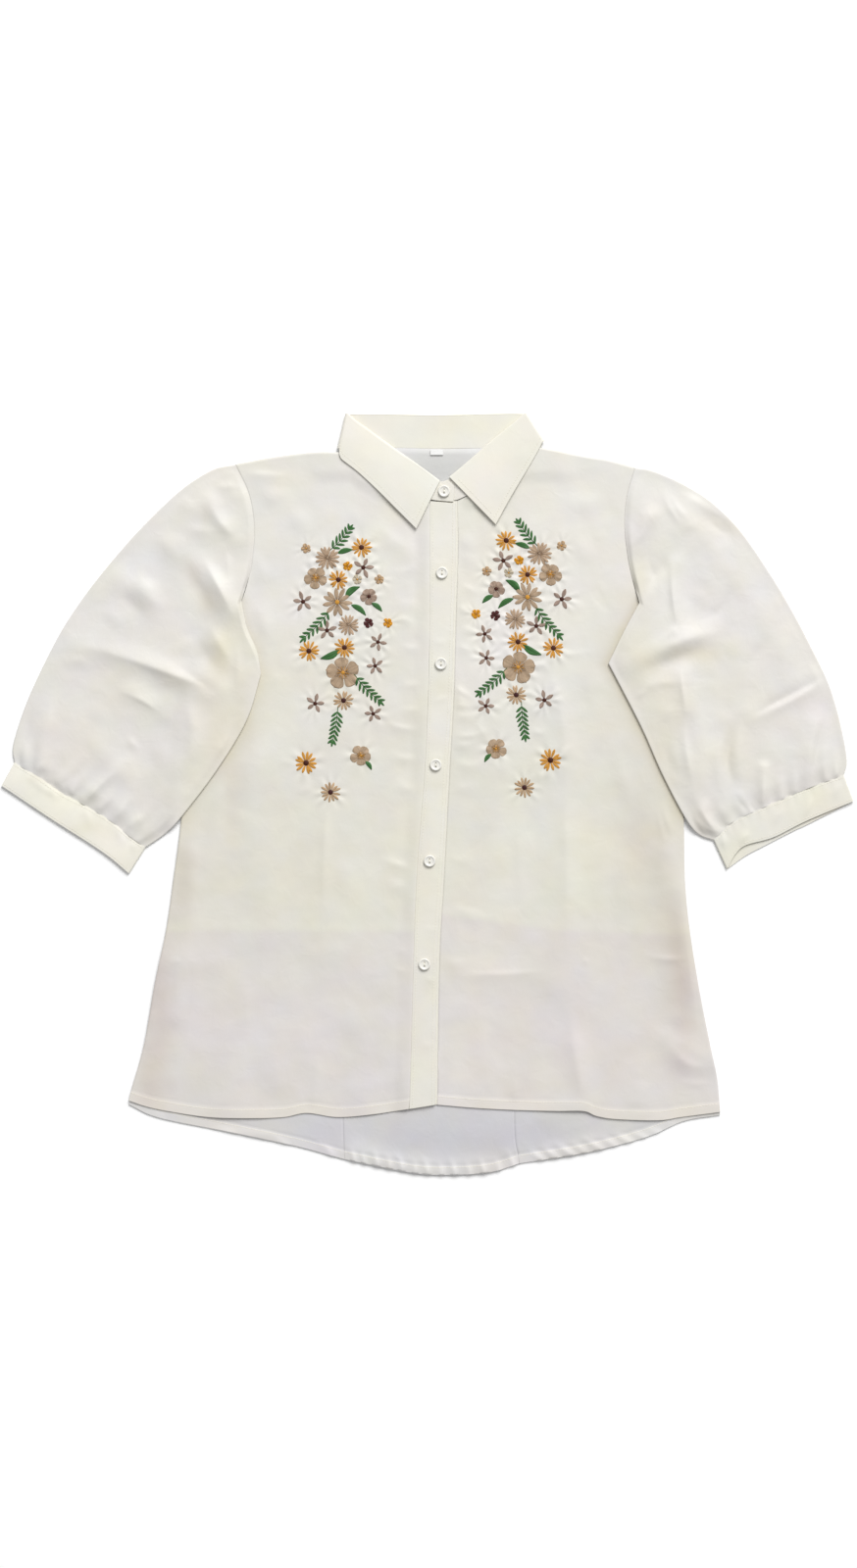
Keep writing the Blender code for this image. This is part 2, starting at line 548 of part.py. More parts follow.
def sleeve(name, head, outer_edge, under_edge, cuff_seam, under_body, outer_side, folds, across_head, bend):
    """A flattened tube from the armhole and fold to the cuff, with its under layer up over the side of the body."""
    lengths = np.array([0, 0.06, 0.15, 0.27, 0.40, 0.53, 0.66, 0.78, 0.88, 0.95, 1.0])
    across = np.linspace(0, 1, len(across_head))
    seam = curve(cuff_seam, across)
    plan = patch(curve(outer_edge, lengths), curve(under_edge, lengths), across_head, seam)
    plan = plan + bend(plan)
    outers, inners = [], []
    for j in range(len(lengths)):
        row = inset(plan[j], LAYER_STEP / 2 + WALL / 2)
        if j == len(lengths) - 1:
            row = row + np.array([0.0, 0.25])
        away = distance_to(row, under_body, outer_side)
        low = BACK_LEVEL + (SLEEVE_ON_BODY_LEVEL - BACK_LEVEL) * smooth_step(1 - (away - UNDER_FLAT) / UNDER_RAMP)
        from_edge = np.minimum(np.linalg.norm(row - row[0], axis=1), np.linalg.norm(row - row[-1], axis=1))
        high = low + LAYER_STEP + relief(row, folds, SLEEVE_MOST_RELIEF) * smooth_step(from_edge / 9)
        if j == 0:
            high = low + LAYER_STEP
        ring, core = ring_pair(row, row, low, high, WALL)
        outers.append(ring)
        inners.append(core)
    tube(name, np.array(outers), np.array(inners), SLEEVE_IVORY)


def cuff(name, seam, upper_edge, lower_edge, down):
    """A flattened band, edge to edge with the end of the sleeve."""
    across = steps(10)
    start = curve(seam, across) + np.array([0.0, -0.3])
    upper_end, lower_end = curve(upper_edge, across), curve(lower_edge, across)
    outers, inners = [], []
    for t in (0.0, 0.35, 0.7, 1.0):
        upper = inset(start + (upper_end - start) * t, 1.4)
        lower = inset(start + (lower_end - start) * t, 1.4)
        lower[0], lower[-1] = upper[0], upper[-1]
        low, high = np.full(len(across), CUFF_LOWER), np.full(len(across), CUFF_UPPER)
        ring, core = ring_pair(lower, upper, low, high, WALL)
        outers.append(ring)
        inners.append(core)
    tube(name, np.array(outers), np.array(inners), CREAM)


def sleeves():
    head = chain((SLEEVE_HEAD_RIGHT[:5], steps(22)), (SLEEVE_HEAD_RIGHT[4:], steps(12)))
    sleeve("sleeve_right", head, SLEEVE_OUTER_RIGHT, SLEEVE_UNDER_RIGHT, CUFF_SEAM_RIGHT, UNDER_RIGHT, -1,
           SLEEVE_RIGHT_FOLDS, head, lambda plan: 0.0)
    head = chain((SLEEVE_HEAD_LEFT[:5], steps(22)), (SLEEVE_HEAD_LEFT[4:], steps(12)))
    sleeve("sleeve_left", head, SLEEVE_OUTER_LEFT, SLEEVE_UNDER_LEFT, CUFF_SEAM_LEFT, UNDER_LEFT, 1,
           SLEEVE_LEFT_FOLDS, head, lambda plan: 0.0)
    cuff("cuff_right", CUFF_SEAM_RIGHT, CUFF_EDGE_RIGHT, CUFF_EDGE_RIGHT, -1)
    cuff("cuff_left", CUFF_SEAM_LEFT, CUFF_EDGE_LEFT, CUFF_EDGE_LEFT_UNDER, -1)


def collar_frame(row):
    """Fold, neck and edge points of a section, the way it turns out, and its turn."""
    fold, neck, edge = np.array(row[0:2]), np.array(row[2:4]), np.array(row[4:6])
    turn = math.radians(row[6])
    side = -1.0 if fold[0] < 8 else 1.0
    fall = edge - fold
    outward = np.array([-fall[1], fall[0]]) if side > 0 else np.array([fall[1], -fall[0]])
    length = np.linalg.norm(outward)
    outward = outward / length * math.sin(turn)
    return fold, neck, edge, outward, math.cos(turn)


def collar_point(plan, outward, upright, away, lift):
    x, y = plan + outward * away
    return (x, y, COLLAR_AXIS + upright * away + lift)


def collar_stand():
    top, bottom = [], []
    for row in COLLAR:
        fold, neck, edge, outward, upright = collar_frame(row)
        fall = (edge if edge.any() else neck) - fold
        start = fold + fall / np.linalg.norm(fall) * (FOLD_IN + 0.45)
        line_out, line_in = [], []
        for t in (0.0, 0.33, 0.67, 1.0):
            plan = start + (neck - start) * t
            line_out.append(collar_point(plan, outward, upright, STAND_TURN + WALL / 2, row[7]))
            line_in.append(collar_point(plan, outward, upright, STAND_TURN - WALL / 2, row[7]))
        top.append(line_out)
        bottom.append(line_in)
    sheet("collar_stand", np.array(top), np.array(bottom), CREAM)


def collar_leaf():
    top, bottom = [], []
    middle, radius = (STAND_TURN + LEAF_TURN) / 2, (LEAF_TURN - STAND_TURN) / 2
    for row in COLLAR[LEAF_FIRST:LEAF_LAST + 1]:
        fold, neck, edge, outward, upright = collar_frame(row)
        fall = (edge - fold) / np.linalg.norm(edge - fold)
        start = fold + fall * FOLD_IN
        line_out, line_in = [], []
        for angle in (0, 36, 72, 108, 144):
            a = math.radians(angle)
            for line, size in ((line_out, radius + WALL / 2), (line_in, radius - WALL / 2)):
                plan = start - fall * math.sin(a) * size
                line.append(collar_point(plan, outward, upright, middle - math.cos(a) * size, 0.0))
        for t in (0.0, 0.12, 0.3, 0.5, 0.7, 0.88, 1.0):
            plan = start + (edge - start) * t
            swell = 0.7 * math.sin(math.pi * t) * max(0.0, upright)
            line_out.append(collar_point(plan, outward, upright, LEAF_TURN + WALL / 2, swell))
            line_in.append(collar_point(plan, outward, upright, LEAF_TURN - WALL / 2, swell))
        top.append(line_out)
        bottom.append(line_in)
    sheet("collar_leaf", np.array(top), np.array(bottom), CREAM)


def button(name, x, y, base):
    """A round button with a raised rim, a dished face and two holes, one above the other."""
    shape = bmesh.new()
    profile = [(4.8, 0.0), (BUTTON_RADIUS, 0.6), (BUTTON_RADIUS, 1.5), (5.1, BUTTON_HEIGHT), (4.1, BUTTON_HEIGHT),
               (3.3, 1.4)]
    rings = []
    for radius, height in profile:
        rings.append([
            shape.verts.new((radius * math.cos(2 * math.pi * k / BUTTON_SIDES),
                             radius * math.sin(2 * math.pi * k / BUTTON_SIDES), height))
            for k in range(BUTTON_SIDES)
        ])
    for low, high in zip(rings[:-1], rings[1:]):
        for k in range(BUTTON_SIDES):
            n = (k + 1) % BUTTON_SIDES
            shape.faces.new((low[k], low[n], high[n], high[k]))
    holes = []
    for side in (-1, 1):
        pair = []
        for height in (0.0, 1.4):
            pair.append([
                shape.verts.new((BUTTON_HOLE * math.cos(2 * math.pi * k / 8),
                                 side * BUTTON_HOLE_APART / 2 + BUTTON_HOLE * math.sin(2 * math.pi * k / 8), height))
                for k in range(8)
            ])
        for k in range(8):
            n = (k + 1) % 8
            shape.faces.new((pair[0][n], pair[0][k], pair[1][k], pair[1][n]))
        holes.append(pair)
    for rim, level in ((rings[0], 0), (rings[-1], 1)):
        edges = [shape.edges.get((rim[k], rim[(k + 1) % BUTTON_SIDES])) for k in range(BUTTON_SIDES)]
        for pair in holes:
            ring = pair[level]
            edges += [shape.edges.get((ring[k], ring[(k + 1) % 8])) for k in range(8)]
        bmesh.ops.triangle_fill(shape, use_beauty=True, edges=edges, normal=(0, 0, 1 if level else -1))
    bmesh.ops.recalc_face_normals(shape, faces=shape.faces)
    bmesh.ops.triangulate(shape, faces=shape.faces)
    shape.verts.index_update()
    points = [(v.co.x + x, v.co.y + y, v.co.z + base) for v in shape.verts]
    faces = [[v.index for v in face.verts] for face in shape.faces]
    shape.free()
    add_body(name, points, faces, PEARL, 0.3)


def label():
    x, y = LABEL_CENTRE
    w, h = LABEL_SIZE[0] / 2, LABEL_SIZE[1] / 2
    grid = np.array([[(x - w, y - h), (x + w, y - h)], [(x - w, y + h), (x + w, y + h)]], float)
    level = np.full((2, 2), BACK_LEVEL + LIFT + WALL + 0.3)
    panel("neck_label", grid, level, PEARL)


def build():
    for item in list(bpy.data.objects):
        bpy.data.objects.remove(item, do_unlink=True)
    body_panels()
    sleeves()
    collar_stand()
    collar_leaf()
    label()
    for number, (x, y) in enumerate(BUTTONS):
        top = COLLAR_AXIS + STAND_TURN + 0.2 + WALL / 2 if number == 0 else PLACKET_LEVEL + WALL / 2
        button(f"button_{number + 1}", x, y, top + 0.3)


build()
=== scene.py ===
"""Looks of an embroidered puff sleeve shirt that lies face up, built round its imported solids.

X runs across the sleeves, +Y points to the collar, +Z is up. Lengths in the tables are in millimetres in the frame
of the solids, and the meshes are in metres. Left and right are the wearer's.
"""
import math

import bpy
import numpy as np
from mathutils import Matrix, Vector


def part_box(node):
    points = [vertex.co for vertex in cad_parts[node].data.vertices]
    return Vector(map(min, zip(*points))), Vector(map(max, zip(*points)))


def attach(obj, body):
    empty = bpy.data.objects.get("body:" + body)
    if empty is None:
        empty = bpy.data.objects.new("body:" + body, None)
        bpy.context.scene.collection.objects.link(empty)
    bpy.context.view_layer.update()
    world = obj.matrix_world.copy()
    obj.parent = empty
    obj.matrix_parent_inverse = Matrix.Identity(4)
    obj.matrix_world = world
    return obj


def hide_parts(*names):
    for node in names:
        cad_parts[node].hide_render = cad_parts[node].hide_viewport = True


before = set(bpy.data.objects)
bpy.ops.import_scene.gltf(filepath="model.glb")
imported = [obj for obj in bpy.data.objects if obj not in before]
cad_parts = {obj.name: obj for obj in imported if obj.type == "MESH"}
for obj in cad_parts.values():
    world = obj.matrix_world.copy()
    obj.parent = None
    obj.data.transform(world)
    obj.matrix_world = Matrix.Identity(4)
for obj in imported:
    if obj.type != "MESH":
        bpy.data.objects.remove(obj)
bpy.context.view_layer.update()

MM = 0.001

# Levels of the middle of each layer of cloth, as in the solids.
WALL = 1.0
FINE_WALL = 0.8
BACK_LEVEL = 0.5
FRONT_LEVEL = 1.9
PLACKET_LEVEL = 3.5
SLEEVE_ON_BODY_LEVEL = 3.3
LAYER_STEP = 1.4
SEAM_GAP = 0.35
NECK_GAP = 0.7
HEM_DEPTH = 9.5
HEM_EXTRA = 0.35
LIFT = 1.5
LIFT_TOP, LIFT_END = 319.5, 304.0
LIFT_LEFT, LIFT_RIGHT, LIFT_FADE = -93.0, 116.0, 26.0
COLLAR_AXIS = 2.7
STAND_TURN = 0.7
LEAF_TURN = 2.2
FOLD_IN = 1.25
UNDER_FLAT, UNDER_RAMP = 5.0, 12.0
CUFF_LOWER, CUFF_UPPER = 0.5, 2.3

BUTTON_RADIUS = 5.7
BUTTON_HEIGHT = 2.1
BUTTON_HOLE = 0.8
BUTTON_HOLE_APART = 3.2
BUTTON_SIDES = 64

# Edges of the body, each as x, y.
SIDE_RIGHT = [(-289, -298), (-286, -286), (-274, -243), (-264, -186), (-253, -134), (-246, -86), (-239, -34),
              (-233, 37), (-224, 104)]
SIDE_LEFT = [(283, -309), (280, -276), (273, -243), (262, -186), (253, -129), (249, -86), (248, -34),
             (246, 37), (241, 104)]
ARMHOLE_RIGHT = [(-224, 104), (-213, 123), (-198, 151), (-180, 186), (-171, 218), (-168, 256), (-173, 289),
                 (-186, 318)]
ARMHOLE_LEFT = [(241, 104), (229, 123), (217, 151), (205, 184), (196, 218), (191, 256), (193, 286), (201, 315)]
SHOULDER_RIGHT = [(-186, 318), (-148, 325), (-110, 329.5), (-79.5, 330)]
SHOULDER_LEFT = [(201, 315), (175, 322), (156, 325), (125, 331), (104, 335.5)]
NECK_RIGHT = [(-79.5, 330), (-76, 321), (-61, 308), (-36, 294.8), (-15, 288), (2, 283.5)]
NECK_LEFT = [(104, 335.5), (99.8, 324.5), (81.7, 309.7), (57, 296.9), (38, 287.9), (28, 283.5)]
NECK_BACK = [(-79.5, 330), (-64, 332.5), (-34, 334.4), (7.6, 333.6), (51, 334), (85.5, 336), (104, 335.5)]
PLACKET_SEAM = [(-18, -306), (-17, -287), (-13, -143), (-10, -73), (-6, -21), (-2, 32), (1, 109), (2, 167), (2, 282)]
PLACKET_EDGE = [(7, -302), (9, -162), (14, -73), (19, 23), (23, 94), (25, 167), (27, 231), (27, 280)]
HEM_FRONT_RIGHT = [(-289, -298), (-271, -304), (-247, -309), (-211, -314), (-171, -315), (-139, -314), (-117, -310),
                   (-87, -314), (-51, -311), (-18, -306)]
HEM_FRONT_LEFT = [(8, -302), (45, -305), (83, -307), (124, -308), (151, -308), (164, -313), (184, -316), (224, -317),
                  (245, -314), (283, -309)]
HEM_BACK_RIGHT = [(-289, -302), (-259, -315), (-184, -330), (-124, -343), (-80, -355)]
HEM_BACK_CENTRE = [(-80, -355), (-15, -368), (23, -370), (62, -367), (89, -359)]
HEM_BACK_LEFT = [(89, -359), (156, -348), (213, -333), (248, -318), (283, -312)]
BACK_SEAM_RIGHT = [(-80, -355), (-82, -317), (-88, -86), (-100, 104), (-124, 328)]
BACK_SEAM_LEFT = [(89, -359), (84, -306), (90, -86), (112, 104), (150, 326)]
UNDER_RIGHT = [(-180, 186), (-198, 151), (-213, 123), (-224, 104), (-233, 37), (-239, -34), (-246, -86)]
UNDER_LEFT = [(205, 184), (217, 151), (229, 123), (241, 104), (246, 37), (248, -34), (249, -86)]

# Edges of the sleeves and cuffs.
SLEEVE_HEAD_RIGHT = [(-186, 318), (-173, 289), (-168, 256), (-171, 218), (-180, 186), (-175, 161), (-165, 137),
                     (-161, 115)]
SLEEVE_HEAD_LEFT = [(201, 315), (193, 286), (191, 256), (196, 218), (205, 184), (190, 156), (175, 125)]
SLEEVE_OUTER_RIGHT = [(-186, 318), (-208, 313), (-238, 294), (-269, 265), (-295, 237), (-326, 199), (-352, 161),
                      (-372, 123), (-389, 85), (-401, 47), (-400, 29)]
SLEEVE_OUTER_LEFT = [(201, 315), (216, 312.5), (240, 303), (272, 284), (301, 256), (328, 218), (351, 180),
                     (371, 142), (389, 104), (400, 66), (406, 32), (403, 17)]
SLEEVE_UNDER_RIGHT = [(-161, 115), (-175, 70), (-203, 23), (-237, -22), (-253, -39), (-273, -53)]
SLEEVE_UNDER_LEFT = [(175, 125), (186, 104), (208, 61), (227, 18), (249, -24), (262, -40), (277, -46)]
CUFF_SEAM_RIGHT = [(-400, 29), (-378, 16), (-352, -2), (-332, -12), (-306, -28), (-290, -41), (-273, -53)]
CUFF_SEAM_LEFT = [(403, 17), (370, 5), (340, -8), (310, -21), (293, -30), (277, -46)]
CUFF_EDGE_RIGHT = [(-412.5, 7), (-363, -26), (-330, -47), (-308, -62), (-289, -78)]
CUFF_EDGE_LEFT = [(412.5, -8), (367, -27), (335, -43), (308, -51), (297, -61), (290, -74)]
CUFF_EDGE_LEFT_UNDER = [(412.5, -8), (367, -31), (356, -36), (325, -52), (308, -61), (290, -74)]

# Broad folds, as in the solids: start x, y, end x, y, half width, height at the start, height at the end.
FRONT_FOLDS = {
    "right": [
        (-229, -60, -247, -215, 12, 1.2, 1.6),
        (-100, -10, -103, -150, 20, 0.8, 1.3),
        (-262, -164, -205, -166, 12, 0.9, 0.6),
        (-150, 60, -160, -90, 20, 0.5, 0.8),
        (-60, -230, -64, -300, 16, 0.2, 1.0),
        (-190, -240, -196, -300, 16, 0.3, 1.1),
    ],
    "left": [
        (127, 110, 130, -185, 18, 0.9, 1.6),
        (145, -250, 147, -300, 14, 0.9, 1.3),
        (233, -60, 239, -215, 12, 1.1, 1.5),
        (230, -238, 274, -260, 11, 1.5, 0.9),
        (35, -174, 118, -175, 14, 0.6, 0.9),
        (64, 90, 60, -60, 18, 0.5, 0.7),
    ],
}
BACK_FOLDS = [
    (-70, -346, -38, -358, 9, 1.2, 1.7),
    (-16, -362, 12, -364, 9, 1.8, 0.9),
    (30, -363, 58, -362, 9, 1.5, 1.9),
    (-205, -322, -160, -330, 9, 0.7, 1.0),
    (120, -348, 168, -339, 9, 1.2, 0.7),
]
SLEEVE_FOLDS = {
    "right": [
        (-343, 145, -205, 99, 13, 1.0, 2.2),
        (-286, 98, -250, 76, 11, 1.6, 0.8),
        (-211, 281, -186, 246, 9, 1.6, 0.8),
        (-240, 235, -192, 176, 13, 1.4, 2.0),
        (-295, 205, -262, 175, 14, 1.5, 0.8),
        (-200, 40, -222, -5, 10, 0.8, 1.5),
        (-330, 60, -300, 20, 12, 0.4, 1.4),
        (-375, 26, -372, 60, 6, 1.9, 0.3),
        (-356, 11, -334, 34, 6, 1.8, 0.4),
        (-332, -6, -292, 32, 6, 2.3, 0.5),
        (-318, -15, -299, 12, 6, 1.6, 0.3),
        (-303, -25, -281, 12, 6, 2.0, 0.3),
        (-288, -38, -262, -6, 6, 1.6, 0.4),
        (-389, 26, -388, 52, 5, 1.4, 0.2),
        (-344, 3, -327, 22, 5, 1.4, 0.2),
        (-279, -46, -258, -20, 5, 1.3, 0.4),
    ],
    "left": [
        (383, 114, 313, 77, 11, 1.6, 0.9),
        (240, 222, 243, 161, 10, 1.4, 1.9),
        (246, 114, 249, 80, 10, 1.2, 1.6),
        (215, 267, 193, 228, 9, 1.5, 0.9),
        (194, 123, 260, 151, 12, 1.9, 0.8),
        (290, 66, 291, 0, 12, 1.3, 1.9),
        (374, 66, 365, 9, 10, 1.1, 1.9),
        (262, 290, 240, 255, 10, 1.3, 0.6),
        (325, 24, 325, -12, 6, 1.7, 2.1),
        (302, -4, 307, -19, 6, 1.0, 2.0),
        (257, 0, 279, -41, 6, 0.6, 2.0),
        (371, 43, 370, 8, 6, 0.6, 1.9),
        (341, 20, 342, -5, 5, 0.4, 1.6),
        (354, 26, 355, 2, 5, 0.3, 1.5),
        (385, 40, 386, 13, 5, 0.3, 1.6),
        (286, 2, 293, -28, 5, 0.4, 1.6),
        (395, 40, 396, 17, 5, 0.2, 1.2),
    ],
}
SLEEVE_MOST_RELIEF = 2.9
BODY_MOST_RELIEF = 2.2

# Fine creases, each a ridge, or a trough where its height is below zero, along a bent line through three points: x, y of
# the start, middle and end, its width to the left and to the right of the line, its height, where along the line it
# peaks, and how soft its crest is, from 1 for a sharp one to 2 for a round one.
FRONT_CREASES = {
    "right": [
        (-257, -163, -238, -163, -215, -163, 2.5, 6, 0.5, 0.4, 1.2),
        (-34, -172, -24, -172, -15, -171, 2, 4, 0.4, 0.5, 1.3),
        (-34, -156, -26, -153, -16, -155, 3, 4, 0.4, 0.5, 1.6),
        (-180, 309, -152, 308, -124, 305, 3, 9, 1.0, 0.35, 1.3),
        (-172, 298, -150, 288, -122, 286, 7, 9, 0.9, 0.5, 2.0),
        (-140, 282, -122, 262, -112, 244, 8, 10, 0.8, 0.5, 2.0),
        (-168, 190, -160, 166, -156, 138, 9, 7, 1.0, 0.5, 1.8),
        (-170, 236, -160, 214, -160, 196, 5, 7, 0.6, 0.5, 1.8),
        (-166, 120, -150, 112, -130, 112, 4, 7, 0.5, 0.4, 1.6),
        (-150, 70, -166, 22, -182, -50, 15, 13, 2.0, 0.4, 1.7),
        (-186, 40, -202, 4, -212, -60, 8, 11, 1.1, 0.5, 1.8),
        (-224, -20, -228, -90, -234, -150, 6, 9, 0.9, 0.5, 1.8),
        (-224, -90, -240, -184, -254, -288, 12, 10, -1.0, 0.5, 2.0),
        (-244, -120, -262, -200, -276, -284, 8, 5, 1.3, 0.6, 1.6),
        (-97, -2, -100, -66, -102, -138, 6, 6, 1.5, 0.35, 1.4),
        (-104, -240, -108, -280, -112, -308, 6, 6, 0.9, 0.8, 1.5),
        (-26, -236, -22, -272, -20, -304, 7, 6, 0.7, 0.7, 1.6),
        (-50, -62, -30, -69, -14, -74, 3, 6, 0.9, 0.6, 1.4),
        (-44, -84, -30, -90, -16, -90, 4, 7, 0.6, 0.6, 1.8),
        (-70, -56, -80, -84, -66, -110, 10, 8, 0.7, 0.5, 2.0),
        (-48, 72, -28, 64, -6, 60, 2.5, 5, 0.8, 0.6, 1.3),
        (-30, 82, -18, 80, -4, 84, 3, 5, 0.6, 0.6, 1.5),
        (-30, 108, -18, 104, -3, 108, 3, 5, 0.6, 0.6, 1.5),
        (-30, 146, -18, 140, -3, 142, 3, 6, 0.7, 0.6, 1.4),
        (-34, 166, -22, 168, -10, 160, 2.5, 4, 0.6, 0.4, 1.4),
        (-30, 190, -20, 182, -4, 186, 4, 7, 0.5, 0.6, 1.8),
        (-36, 216, -22, 214, -6, 222, 4, 6, 0.6, 0.5, 1.7),
        (-40, 44, -26, 34, -8, 34, 3, 6, 0.7, 0.6, 1.5),
        (-34, 14, -20, 4, -8, 6, 4, 6, 0.6, 0.6, 1.7),
        (-52, 262, -34, 244, -12, 232, 6, 9, 0.8, 0.5, 1.8),
        (-24, 250, -16, 226, -12, 206, 7, 7, 0.6, 0.4, 2.0),
        (-124, 34, -136, 30, -148, 34, 3, 5, 0.6, 0.3, 1.6),
        (-110, 6, -122, 2, -134, 4, 3, 5, 0.5, 0.3, 1.6),
        (-112, 130, -126, 122, -140, 124, 4, 6, 0.6, 0.3, 1.7),
        (-196, -20, -176, -24, -156, -34, 5, 8, 0.5, 0.4, 2.0),
        (-150, -200, -144, -250, -152, -300, 9, 12, 0.7, 0.7, 2.0),
        (-190, -160, -178, -200, -186, -240, 10, 12, 0.6, 0.5, 2.0),
        (-60, -190, -70, -230, -56, -270, 12, 10, 0.6, 0.5, 2.0),
        (-234, -236, -240, -262, -250, -292, 6, 7, 0.8, 0.7, 1.8),
    ],
    "left": [
        (12, -175, 60, -176, 122, -173, 2.5, 6, 0.7, 0.6, 1.2),
        (205, -157, 230, -161, 254, -160, 3, 5, 0.9, 0.6, 1.2),
        (148, -162, 152, -163, 158, -163, 2, 3, 0.4, 0.5, 1.3),
        (14, -163, 30, -165, 46, -162, 4, 7, 0.5, 0.4, 1.8),
        (30, 201, 40, 198, 50, 191, 2.5, 5, 0.6, 0.5, 1.3),
        (28, 181, 38, 177, 47, 172, 2, 5, 0.9, 0.4, 1.2),
        (26, 142, 38, 139, 48, 130, 3, 5, 0.8, 0.4, 1.3),
        (30, 160, 40, 158, 50, 160, 3, 5, 0.5, 0.4, 1.6),
        (25, 105, 34, 97, 47, 91, 2.5, 5, 1.3, 0.35, 1.2),
        (26, 97, 33, 89, 44, 87, 3, 4, 0.8, 0.4, 1.4),
        (24, 87, 34, 84, 45, 83, 2.5, 4, 1.0, 0.4, 1.2),
        (25, 77, 36, 74, 50, 78, 3, 5, 0.6, 0.4, 1.5),
        (23, 56, 40, 55, 62, 60, 2.5, 5, 0.8, 0.4, 1.3),
        (22, 47, 38, 46, 54, 52, 3, 5, 0.7, 0.4, 1.5),
        (45, 67, 53, 60, 58, 50, 3, 4, 0.7, 0.5, 1.4),
        (22, 32, 42, 26, 64, 33, 4, 7, 0.7, 0.4, 1.6),
        (22, 8, 36, 4, 50, 10, 4, 6, 0.5, 0.4, 1.8),
        (18, -60, 32, -66, 48, -62, 4, 6, 0.5, 0.4, 1.7),
        (30, 232, 44, 226, 58, 230, 4, 7, 0.5, 0.4, 1.8),
        (32, 252, 40, 240, 40, 224, 7, 6, 0.6, 0.4, 2.0),
        (98, 120, 112, 124, 120, 112, 3, 4, 0.9, 0.4, 1.3),
        (92, 130, 110, 136, 132, 131, 3, 5, 0.8, 0.4, 1.4),
        (108, 126, 138, 134, 173, 138, 2, 4, 0.6, 0.3, 1.2),
        (96, 84, 106, 80, 116, 84, 3, 5, 0.7, 0.4, 1.4),
        (98, 62, 108, 58, 118, 62, 3, 4, 0.7, 0.4, 1.4),
        (124, 40, 134, 42, 144, 46, 2.5, 4, 0.6, 0.3, 1.4),
        (66, 36, 74, 22, 78, 8, 5, 6, 0.7, 0.4, 1.8),
        (104, 16, 112, 18, 120, 14, 3, 4, 0.5, 0.3, 1.5),
        (118, 122, 132, 60, 134, -20, 9, 7, 1.3, 0.25, 1.5),
        (133, 20, 135, -80, 134, -182, 10, 8, 1.4, 0.35, 1.5),
        (135, -186, 142, -244, 152, -308, 9, 7, 1.5, 0.7, 1.5),
        (88, -14, 90, -70, 92, -130, 8, 6, 0.7, 0.4, 1.8),
        (196, -30, 190, -90, 194, -150, 12, 9, 0.7, 0.5, 2.0),
        (162, 206, 166, 188, 180, 172, 3, 3, -0.6, 0.5, 1.5),
        (134, 184, 143, 180, 152, 178, 2.5, 4, 0.5, 0.4, 1.4),
        (130, 288, 150, 280, 176, 284, 8, 11, 0.8, 0.5, 2.0),
        (136, 250, 150, 238, 160, 214, 9, 9, 0.7, 0.5, 2.0),
        (168, 130, 160, 100, 168, 60, 10, 8, 0.8, 0.4, 2.0),
        (180, 60, 186, 20, 204, -20, 8, 8, 0.8, 0.5, 1.8),
        (227, -8, 232, -28, 238, -46, 2.5, 3, 0.7, 0.5, 1.3),
        (222, -14, 226, -34, 231, -54, 2.5, 3, 0.6, 0.5, 1.3),
        (240, -40, 248, -130, 261, -236, 5, 14, 2.5, 0.6, 1.7),
        (228, -60, 234, -120, 244, -200, 9, 9, -0.7, 0.6, 2.0),
        (229, -240, 250, -262, 277, -270, 6, 11, 2.0, 0.5, 1.5),
        (240, -278, 258, -282, 278, -280, 3, 5, 0.5, 0.5, 1.5),
        (200, -262, 206, -286, 204, -308, 8, 9, 0.6, 0.8, 2.0),
        (86, -250, 84, -280, 86, -302, 6, 6, 0.7, 0.8, 1.6),
        (40, -210, 52, -240, 44, -280, 10, 9, 0.6, 0.5, 2.0),
        (20, -110, 44, -118, 66, -122, 4, 8, 0.5, 0.4, 1.8),
    ],
}
